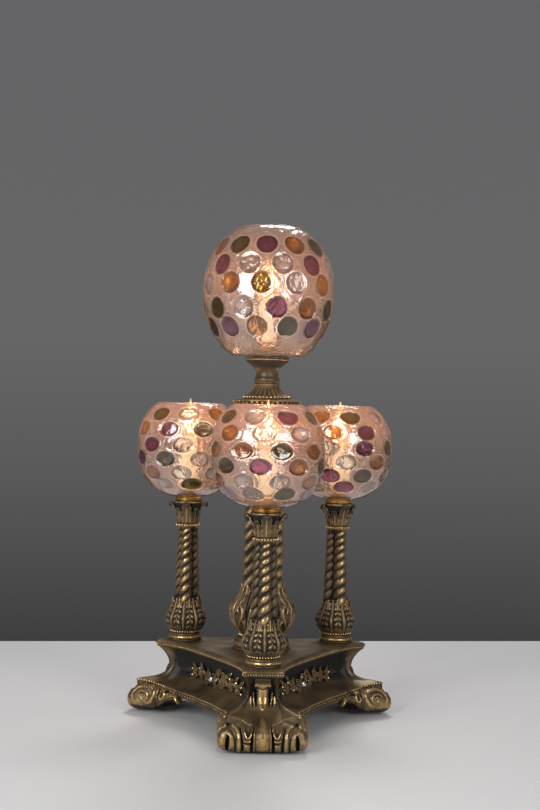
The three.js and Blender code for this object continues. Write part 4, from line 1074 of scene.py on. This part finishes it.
# Lower and upper edge of the carved panel on a foot's flank: distance from the lamp axis, height
FLANK_LOW = ((81, 17), (85, 15.5), (88, 20), (94, 20), (104, 16.5), (110, 11), (118, 9), (138, 8), (144, 10.4), (147, 15.5))
FLANK_HIGH = ((81, 19), (84, 26), (92, 30.5), (104, 33), (120, 33.6), (138, 33.2), (144, 30), (147, 23.5))
FLANK_STROKES = (
    (2.8, 0.95, ((134.4, 10.4, 1.4), (141.5, 11.6, 2.0), (143.9, 17.5, 2.4), (143.1, 23.6, 2.4),
                 (139.2, 28.8, 2.3), (133, 31.2, 2.1), (125.2, 31.2, 1.9), (117.9, 29.6, 1.4))),
    (2.6, 0.9, ((137.4, 23.4, 1.0), (133, 26.4, 1.7), (126.3, 26, 1.9), (122.8, 21.9, 1.8), (125.1, 17.6, 1.7),
                (130.6, 17.2, 1.6), (132.5, 20.6, 1.4), (129.6, 22.4, 1.2))),
    (3.0, 0.9, ((136, 10.8, 1.8), (128.8, 11.6, 2.8), (120.9, 13.9, 3.8), (116.3, 20.5, 3.4),
                (114.4, 26.2, 2.2), (115.1, 30.2, 1.0))),
    (-1.8, 0, ((140.5, 15.4, 1.6), (140.7, 21.4, 1.9), (136.8, 15.9, 1.4))),
    (-3, 0, ((109.5, 32.5, 1), (109.2, 25.5, 1.3), (110, 18.4, 0.8))),
    (2.8, 0.95, ((105.8, 31, 1.2), (101.6, 29.6, 2.3), (100.4, 25.3, 2.6), (102.4, 20.7, 2.1), (106, 19.4, 1.6),
                 (107.2, 22.7, 1.3), (105.6, 25, 1.1))),
    (-1.6, 0, ((105, 27.9, 1), (103.8, 23.4, 0.9))),
    (1.8, 0.55, ((99.6, 20.9, 1), (94.6, 23.6, 2.2), (88.6, 25.6, 2.2), (84.6, 24.6, 1.4))),
    (-2, 0, ((98.6, 28.6, 1.5), (94.1, 28.4, 0.9))),
    (2.4, 1.0, ((86.6, 27.2, 1.6), (84.8, 22.2, 2.3), (83.0, 16.7, 0.8))),
)


def mixed(low, high, share):
    return {key: low[key] + (high[key] - low[key]) * share for key in low}


def drawn_in(level, by):
    return {**level, "side": level["side"] - by, "corner": level["corner"] - by, "half": level["half"] - by / 2}


def base_outline(level, side_steps=72, corner_steps=10):
    """Outline of the base at one level: three corners and three concave sides."""
    cosine, sine = math.cos(math.pi / 3), math.sin(math.pi / 3)
    reach = level["corner"] * cosine + level["half"] * sine
    run = level["corner"] * sine - level["half"] * cosine
    spots = []
    for turn in CORNER_TURNS.values():
        for step in range(corner_steps + 1):
            share = 2 * step / corner_steps - 1
            spots.append(turned_from(turn, level["corner"] + level["swell"] * (1 - share ** 2), level["half"] * share))
        for step in range(1, side_steps):
            share = 2 * step / side_steps - 1
            out = level["side"] + (reach - level["side"]) * abs(share) ** level["bend"]
            out -= level["recess"] * smooth_share(0.97 - abs(share), 0, 0.04)
            spots.append(turned_from(turn + 60, out, run * share))
    return np.array(spots)


def off_corner(spots):
    """How far points of the plan lie from the lamp axis, and aside from and ahead along the nearest corner's line."""
    x, y = (np.asarray(spots) - LAMP_AXIS).T
    ways = np.radians(list(CORNER_TURNS.values()))[:, None]
    ahead = x * np.cos(ways) + y * np.sin(ways)
    ahead = ahead.max(axis=0)
    return np.hypot(x, y), np.sqrt(np.maximum(x ** 2 + y ** 2 - ahead ** 2, 0)), ahead


def skirt_lift(spots, height):
    """How far the skirt's edge rises on both sides of each foot."""
    reach, aside, _ = off_corner(spots)
    fading = np.clip((WAIST_HEIGHT - height) / (WAIST_HEIGHT - SKIRT_TOP), 0, 1)
    return 6.6 * smooth_share(reach, 86, 143) * smooth_share(aside, 12, 38) * fading


def outer_levels():
    """Heights, outlines and brightness of the base's outside, from the skirt's edge to the top face."""
    band = ((0, 1.2, 0.1), (0.6, 0.3, 0.2), (1.3, 0.2, 0.2), (1.8, 0.9, 0), (2.2, 1.3, 0), (5.0, 1.5, 0), (5.4, 0.6, 0.15),
            (6.6, 0.3, 0.2), (7.8, 0.8, 0.15), (8.0, 1.6, 0.1))
    levels = [(SKIRT_BOTTOM + up, drawn_in(SKIRT, by), bright) for up, by, bright in band]
    for step in range(1, 15):
        share = step / 14
        levels.append((SKIRT_TOP + (WAIST_HEIGHT - SKIRT_TOP) * share,
                       mixed(drawn_in(SKIRT, 1.6), WAIST, math.sin(share * math.pi / 2)), 0.12))
    for step in range(1, 13):
        share = step / 12
        levels.append((WAIST_HEIGHT + (SLAB_BOTTOM - WAIST_HEIGHT) * share,
                       mixed(WAIST, drawn_in(SLAB, 3.4), share ** 2.4), 0.1))
    edge = ((0.3, 2.0, 0.2), (0.9, 1.5, 0.3), (1.5, 1.7, 0.1), (1.8, 2.3, 0), (3.4, 1.8, 0.05), (3.7, 0.6, 0.2),
            (4.4, 0.1, 0.3), (5.4, 0, 0.3), (6.2, 0.3, 0.25), (6.6, 1.0, 0.05), (7.0, 1.3, 0.2), (7.6, 1.9, 0.3),
            (8.0, 3.0, 0.15))
    return levels + [(SLAB_BOTTOM + up, drawn_in(SLAB, by), bright) for up, by, bright in edge]


def base_shell():
    """The hollow three-cornered casting, from the middle of its ceiling round its edge to the middle of its top."""
    centre = np.array(LAMP_AXIS)
    rings, wear_and_shade = [], []

    def ring(outline, height, shrink=1.0, bright=0.0):
        _, aside, ahead = off_corner(outline)
        if SKIRT_BOTTOM < height <= SKIRT_TOP:
            plain = smooth_share(ahead, 134, 138)[:, None]
            outline = outline + (base_outline(drawn_in(SKIRT, 0.9)) - outline) * plain
        spots = centre + (outline - centre) * shrink
        rings.append(np.column_stack([spots, height + skirt_lift(spots, height)]))
        # Painted shade under the slab, and in the waist's recess beside each corner strip.
        shade = 0.36 * smooth_share(height, 44, 50) * np.maximum(smooth_share(109 - ahead, 0, 3), aside < 14)
        wear_and_shade.append(np.full(len(spots), bright) - (shade if height < SLAB_BOTTOM else 0))

    ceiling = base_outline(drawn_in(WAIST, 2))
    for shrink in (0.02, 0.5, 1.0):
        ring(ceiling, SLAB_TOP - CEILING_THICK, shrink)
    ring(base_outline(drawn_in(WAIST, 5)), WAIST_HEIGHT)
    ring(base_outline(HOLLOW), SKIRT_BOTTOM + 4)
    ring(base_outline(HOLLOW), SKIRT_BOTTOM)
    for height, level, bright in outer_levels():
        ring(base_outline(level), height, bright=bright)
    top = base_outline(drawn_in(SLAB, 5))
    for shrink in (1.0, 0.85, 0.6, 0.3, 0.02):
        ring(top, SLAB_TOP, shrink, 0.12)
    form = Form()
    form.skin(rings, np.array(wear_and_shade))
    form.piece("base_cast_shell", bronze(), ("base_casting",))


def foot(name, turn):
    """A corner's bracket and scroll foot in one sweep: a gilt strap between petals that spreads into rolled lobes, with
    a leaf pocket on each side. Each flank is a carved panel: a volute, a smaller scroll behind it and a hanging
    leaf tip."""
    form = Form()
    share = np.linspace(-1, 1, 181)
    heights = np.linspace(FOOT_LOW, BRACKET_TOP, 165)
    outs, halves = (np.interp(heights, [row[0] for row in FOOT_FRONT], [row[at] for row in FOOT_FRONT])[:, None]
                    for at in (1, 2))
    along = share * halves
    spread = np.clip((halves - 15) / 30, 0, 1)
    relief, bright = stroked(np.abs(along), heights[:, None] + 0 * along, FACE_STROKES)
    edge = np.clip((np.abs(along) - halves + 6) / 6, 0, 1)
    front = outs + relief - spread * (3.6 * share ** 2 + 4.0 * edge ** 3)
    flat = 0.1 + 0.5 * smooth_share(25 - heights, 0, 12)[:, None]
    wear_and_shade = np.where(bright < 0, 0, np.maximum(bright, flat))
    heel = np.where(heights < SKIRT_TOP, FOOT_HEEL + 2.4 * np.maximum(0, 10 - heights),
                    np.maximum(105, FOOT_HEEL - (heights - SKIRT_TOP)))
    tail = np.where(heights < SKIRT_TOP, 0.98 - 0.03 * np.maximum(0, 10 - heights), 0.8)
    back = share[::-9]
    rings = []
    for height, row, offsets, half, rear in zip(heights, front, along, tail * halves[:, 0], heel):
        spots = [turned_from(turn, out, offset) for out, offset in zip(row, offsets)]
        spots += [turned_from(turn, rear, offset) for offset in back * half]
        rings.append([(*spot, height) for spot in spots])
    form.skin(rings, np.hstack([wear_and_shade, np.zeros((len(heights), len(back)))]))
    reach = np.linspace(81, 147, 104)
    low, high = (np.interp(reach, *zip(*edges)) for edges in (FLANK_LOW, FLANK_HIGH))
    part = np.linspace(0, 1, 44)
    up = low[:, None] + (high - low)[:, None] * part
    relief, bright = stroked(reach[:, None] + 0 * up, up, FLANK_STROKES)
    rounding = 6.5 * part ** 4 + 4 * (1 - part) ** 4
    for side in (-1, 1):
        rings = []
        for out, row, lift in zip(reach, up, relief - rounding):
            face = [(*turned_from(turn, out, side * (45.2 + rise)), height) for rise, height in zip(lift, row)]
            face += [(*turned_from(turn, out, side * 37), height) for height in row[::-6]]
            rings.append(face)
        dull = np.zeros((len(reach), len(row[::-6])))
        # Cuts in the flank are painted dark as shade.
        form.skin(rings, np.hstack([np.where(bright < 0, -0.3, np.maximum(bright, 0.5)), dull]))
    form.piece(f"{name}_scroll_foot", bronze())


def flower(form, place, out, size, petals, rise=0.4, spin=0.0):
    """Adds an open flower that faces out: cupped petals about a round middle."""
    out = np.array(out) / np.linalg.norm(out)
    level = np.cross(out, (0, 0, 1))
    level /= np.linalg.norm(level)
    upright = np.cross(level, out)
    place = np.array(place)
    for petal in range(petals):
        angle = spin + petal * 2 * math.pi / petals
        way = level * math.cos(angle) + upright * math.sin(angle)
        spine = [place + size * (reach * way + lift * out) for reach, lift in
                 ((0.12, 0.05), (0.45, 0.28), (0.8, rise), (1.0, rise - 0.12), (1.08, rise - 0.3))]
        form.leaf(spine, np.cross(way, out), [0.2 * size, 0.42 * size, 0.5 * size, 0.4 * size, 0.12 * size],
                  0.16 * size, 0.1 * size, 0.16 * size, steps=4, tone=0.72)
    form.bead(place + 0.3 * size * out, 0.3 * size, 1.0)


def garland(name, turn):
    """A rose and a pearl in the middle of a side, with blossoms, buds and leaves trailing to either side."""
    form = Form()
    face = np.array((math.cos(math.radians(turn)), math.sin(math.radians(turn)), 0.12))

    def spot(along, height, proud):
        out = WAIST["side"] - 3 + 12.2 * (abs(along) / 82.4) ** 4.2 + 0.006 * (height - WAIST_HEIGHT) ** 2 + proud
        return (*turned_from(turn, out, along), height)

    level = WAIST_HEIGHT - 1.5
    for size, proud, petals, rise in ((10.5, 0.5, 6, 0.4), (7.4, 3.2, 5, 0.55), (4.6, 5.8, 4, 0.8)):
        flower(form, spot(3, level, proud), face, size, petals, rise, spin=proud)
    ring = [spot(-9.5 + 5.4 * math.cos(step * 0.42), level - 1 + 5.4 * math.sin(step * 0.42), 3.6) for step in range(16)]
    form.tube(ring, 1.0, 0.5)
    for way in (-1, 1):
        for step, along in enumerate((19, 34, 48.5)):
            height = level + 2.2 * math.sin(2.1 * step + way)
            size = 6.8 - 0.7 * step
            for proud, share in ((1.0, 1.0), (3.2, 0.62)):
                flower(form, spot(way * along, height, proud), face, size * share, 5, 0.85, spin=0.7 * step + proud)
            for rise in (-1, 1):
                form.bead(spot(way * (along + 7.2), height + rise * 3.6, 3.0), 2.5 - 0.2 * step, 1.0)
                stem = [spot(way * (along + 1.5 + part * 7), height + rise * (2 + part * 8.5), 3.0 - 2.2 * part ** 2)
                        for part in (0, 0.25, 0.5, 0.75, 1)]
                across = np.cross(np.array(stem[-1]) - np.array(stem[0]), face)
                form.leaf(stem, across / np.linalg.norm(across), [0.8, 2.4, 2.8, 2.0, 0.2], 1.2, 0.9, 0.4, steps=4)
        tip = [spot(way * (56 + 20 * part), level + 1.5 - 3 * part, 2.8 - 2.4 * part ** 2) for part in
               (0, 0.2, 0.4, 0.6, 0.8, 1)]
        form.leaf(tip, way * np.array((0, 0, 1.0)), [1.4, 3.6, 3.8, 3.0, 1.8, 0.2], 1.4, 1.0, 0.5, steps=4)
    form.piece(f"{name}_garland", bronze())
    form = Form()
    form.bead(spot(-9.5, level - 1, 6.0), 4.6, 1.0, 20, 14)
    form.piece(f"{name}_garland_pearl", finish("silver", silvered_bead))


def beads_along(name, level, height, spacing, size, keep=None, wear_and_shade=0.8):
    """Beads at equal distances along an outline of the base."""
    outline = base_outline(level)
    loop = np.vstack([outline, outline[:1]])
    lengths = np.hypot(*np.diff(loop, axis=0).T)
    run = np.concatenate([[0], np.cumsum(lengths)])
    count = int(run[-1] / spacing)
    form = Form()
    for bead in range(count):
        at = run[-1] * bead / count
        x, y = (float(np.interp(at, run, loop[:, axis])) for axis in (0, 1))
        reach, aside, ahead = (values[0] for values in off_corner([(x, y)]))
        if keep is None or keep(reach, aside, ahead):
            form.bead((x, y, height + (skirt_lift([(x, y)], height)[0] if height < SKIRT_TOP else 0)), size, wear_and_shade, 8, 5)
    form.piece(name, bronze())


def beside_foot(reach, aside, ahead):
    """Whether a point of the skirt's edge lies beside a foot, and not over its front, where the bracket spreads."""
    return reach > 108 and (ahead < 134 or aside > 37.5)


class BuildBase(bpy.types.Operator):
    """Three-cornered base casting with scroll feet, brackets, garlands and beaded edges"""

    bl_idname = "lamp.build_base"
    bl_label = "Build Base"

    def execute(self, context):
        base_shell()
        for name, turn in CORNER_TURNS.items():
            foot(name, turn)
            garland({"front": "right_side", "right": "rear_side", "left": "left_side"}[name], turn + 60)
        beads_along("slab_beads", drawn_in(SLAB, 1.5), SLAB_BOTTOM + 2.6, 2.8, 1.1, wear_and_shade=0.45)
        beads_along("skirt_beads", drawn_in(SKIRT, 0.4), SKIRT_BOTTOM + 6.8, 3.4, 1.4, beside_foot, 0.6)
        beads_along("skirt_fine_beads", drawn_in(SKIRT, 0.7), SKIRT_BOTTOM + 6.8, 3.4, 1.2,
                    lambda reach, aside, ahead: reach <= 108, 0.25)
        beads_along("skirt_rosettes", drawn_in(SKIRT, 1.3), SKIRT_BOTTOM + 3.6, 5.2, 1.7,
                    lambda reach, aside, ahead: ahead < 132, 0.2)
        return {"FINISHED"}


# Stage


def plain_surface(name, shade, roughness):
    """Matt painted board: one plain shade that wanders by a hair in clouds 330 mm wide."""
    darker = "#" + "".join(f"{int(shade[at:at + 2], 16) - 3:02X}" for at in (1, 3, 5))
    return mottled(name, darker, shade, 330, {"Roughness": roughness}, 2.0)


def soft_light(name, place, aim, wide, power, colour="#FFFFFF"):
    lamp = bpy.data.lights.new(name, "AREA")
    lamp.shape = "RECTANGLE"
    lamp.size, lamp.size_y = wide
    lamp.energy = power
    lamp.color = linear(colour)[:3]
    holder = bpy.data.objects.new(name, lamp)
    bpy.context.scene.collection.objects.link(holder)
    holder.location = place
    holder.rotation_euler = (Vector(aim) - Vector(place)).to_track_quat("-Z", "Y").to_euler()


class BuildStage(bpy.types.Operator):
    """Plain floor, soft light and the camera"""

    bl_idname = "lamp.build_stage"
    bl_label = "Build Stage"

    def execute(self, context):
        x, y = (place * MM for place in LAMP_AXIS)
        self.floor(context, y)
        self.backdrop(context)
        soft_light("window_left", (x - 0.95, y - 1.3, 0.78), (x, y, 0.35), (0.8, 0.8), 23)
        soft_light("fill_right", (x + 0.88, y - 1.36, 0.72), (x, y, 0.35), (0.55, 0.7), 11)
        soft_light("over", (x + 0.2, y + 1.0, 1.7), (x, y, 0.2), (0.6, 0.4), 18)
        for name in LIGHTS:
            low, high = span(f"{name}_bulb_glass")
            glow = bpy.data.lights.new(f"{name}_glow", "POINT")
            glow.energy, glow.shadow_soft_size, glow.color = 0.16, 3.5 * MM, linear("#FFC08A")[:3]
            holder = bpy.data.objects.new(f"{name}_glow", glow)
            context.scene.collection.objects.link(holder)
            holder.location = Vector((*middle(f"{name}_bulb_glass"), low + 0.45 * (high - low))) * MM
        self.camera(context, x, y)
        context.scene.view_settings.view_transform = "Standard"
        return {"FINISHED"}

    def floor(self, context, y):
        """A table that ends half a metre behind the lamp, its far edge turned so that the camera sees it level."""
        mesh = bpy.data.meshes.new("floor")
        reach, behind, turn = 4.0, y + 0.51, math.tan(math.radians(5.4))
        mesh.from_pydata([(-reach, -reach, 0), (reach, -reach, 0), (reach, behind + turn * reach, 0),
                          (-reach, behind - turn * reach, 0)], [], [(0, 1, 2, 3)])
        mesh.materials.append(plain_surface("matt_painted_board", "#C6C5C5", 0.45))
        floor = bpy.data.objects.new("floor", mesh)
        context.scene.collection.objects.link(floor)

    def backdrop(self, context):
        """Pale studio light all round, before a plain grey backdrop that the camera, metal and glass see."""
        world = bpy.data.worlds.new("studio")
        context.scene.world = world
        world.use_nodes = True
        tree = world.node_tree
        tree.nodes.clear()
        paths = add(tree.nodes, "ShaderNodeLightPath")
        seen = paths.outputs["Is Camera Ray"]
        for kind in ("Is Glossy Ray", "Is Transmission Ray"):
            seen = add(tree.nodes, "ShaderNodeMath", {0: seen, 1: paths.outputs[kind]}, operation="MAXIMUM").outputs[0]
        light = add(tree.nodes, "ShaderNodeBackground", {"Color": linear("#D4D5D8"), "Strength": 0.45})
        way = add(tree.nodes, "ShaderNodeSeparateXYZ", {"Vector": add(tree.nodes, "ShaderNodeTexCoord").outputs[
            "Generated"]}).outputs["Z"]
        level = add(tree.nodes, "ShaderNodeMapRange", {0: way, 1: -0.2, 2: 0.3}).outputs[0]
        shades = add(tree.nodes, "ShaderNodeValToRGB", {"Fac": level}, [
            (0.05, "#3E3E3E"), (0.3, "#5A5A5A"), (0.5, "#666667"), (1.0, "#646466")]).outputs[0]
        grey = add(tree.nodes, "ShaderNodeBackground", {"Color": shades, "Strength": 1.0})
        both = add(tree.nodes, "ShaderNodeMixShader", {0: seen, 1: light.outputs[0], 2: grey.outputs[0]})
        add(tree.nodes, "ShaderNodeOutputWorld", {"Surface": both.outputs[0]})

    def camera(self, context, x, y):
        """Level camera 1.5 m away, as high as the middle of the lamp, held a little crooked."""
        camera = bpy.data.cameras.new("camera")
        camera.sensor_fit = "AUTO"
        camera.lens = 1335 / 810 * 36
        holder = bpy.data.objects.new("camera", camera)
        context.scene.collection.objects.link(holder)
        eye = Vector((x - 0.0313, y - 1.517, 0.359))
        aim = Vector((x + 0.004, y, 0.359))
        turn = (aim - eye).to_track_quat("-Z", "Y").to_matrix() @ Matrix.Rotation(math.radians(1.2), 3, "Z")
        holder.location = eye
        holder.rotation_euler = turn.to_euler()
        context.scene.camera = holder


# Panel and running

OPERATORS = (BuildStage, BuildColumns, BuildPedestal, BuildGlobes, BuildLights, BuildBase)


class LampPanel(bpy.types.Panel):
    """Lists the lamp's sizes, colours and pieces"""

    bl_idname = "VIEW3D_PT_rope_lamp"
    bl_label = "Table Lamp"
    bl_space_type = "VIEW_3D"
    bl_region_type = "UI"
    bl_category = "Lamp"

    def draw(self, context):
        for group in (context.scene.lamp_sizes, context.scene.lamp_colours):
            for name in group.__annotations__:
                self.layout.prop(group, name)
        for operator in OPERATORS:
            self.layout.operator(operator.bl_idname)


CLASSES = (LampSizes, LampColours) + OPERATORS + (LampPanel,)


def register():
    for cls in CLASSES:
        bpy.utils.register_class(cls)
    bpy.types.Scene.lamp_sizes = bpy.props.PointerProperty(type=LampSizes)
    bpy.types.Scene.lamp_colours = bpy.props.PointerProperty(type=LampColours)


def unregister():
    del bpy.types.Scene.lamp_colours
    del bpy.types.Scene.lamp_sizes
    for cls in reversed(CLASSES):
        bpy.utils.unregister_class(cls)


def main():
    register()
    bpy.ops.lamp.build_stage()
    bpy.ops.lamp.build_columns()
    bpy.ops.lamp.build_pedestal()
    bpy.ops.lamp.build_globes()
    bpy.ops.lamp.build_lights()
    bpy.ops.lamp.build_base()
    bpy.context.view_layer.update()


if __name__ == "__main__":
    main()
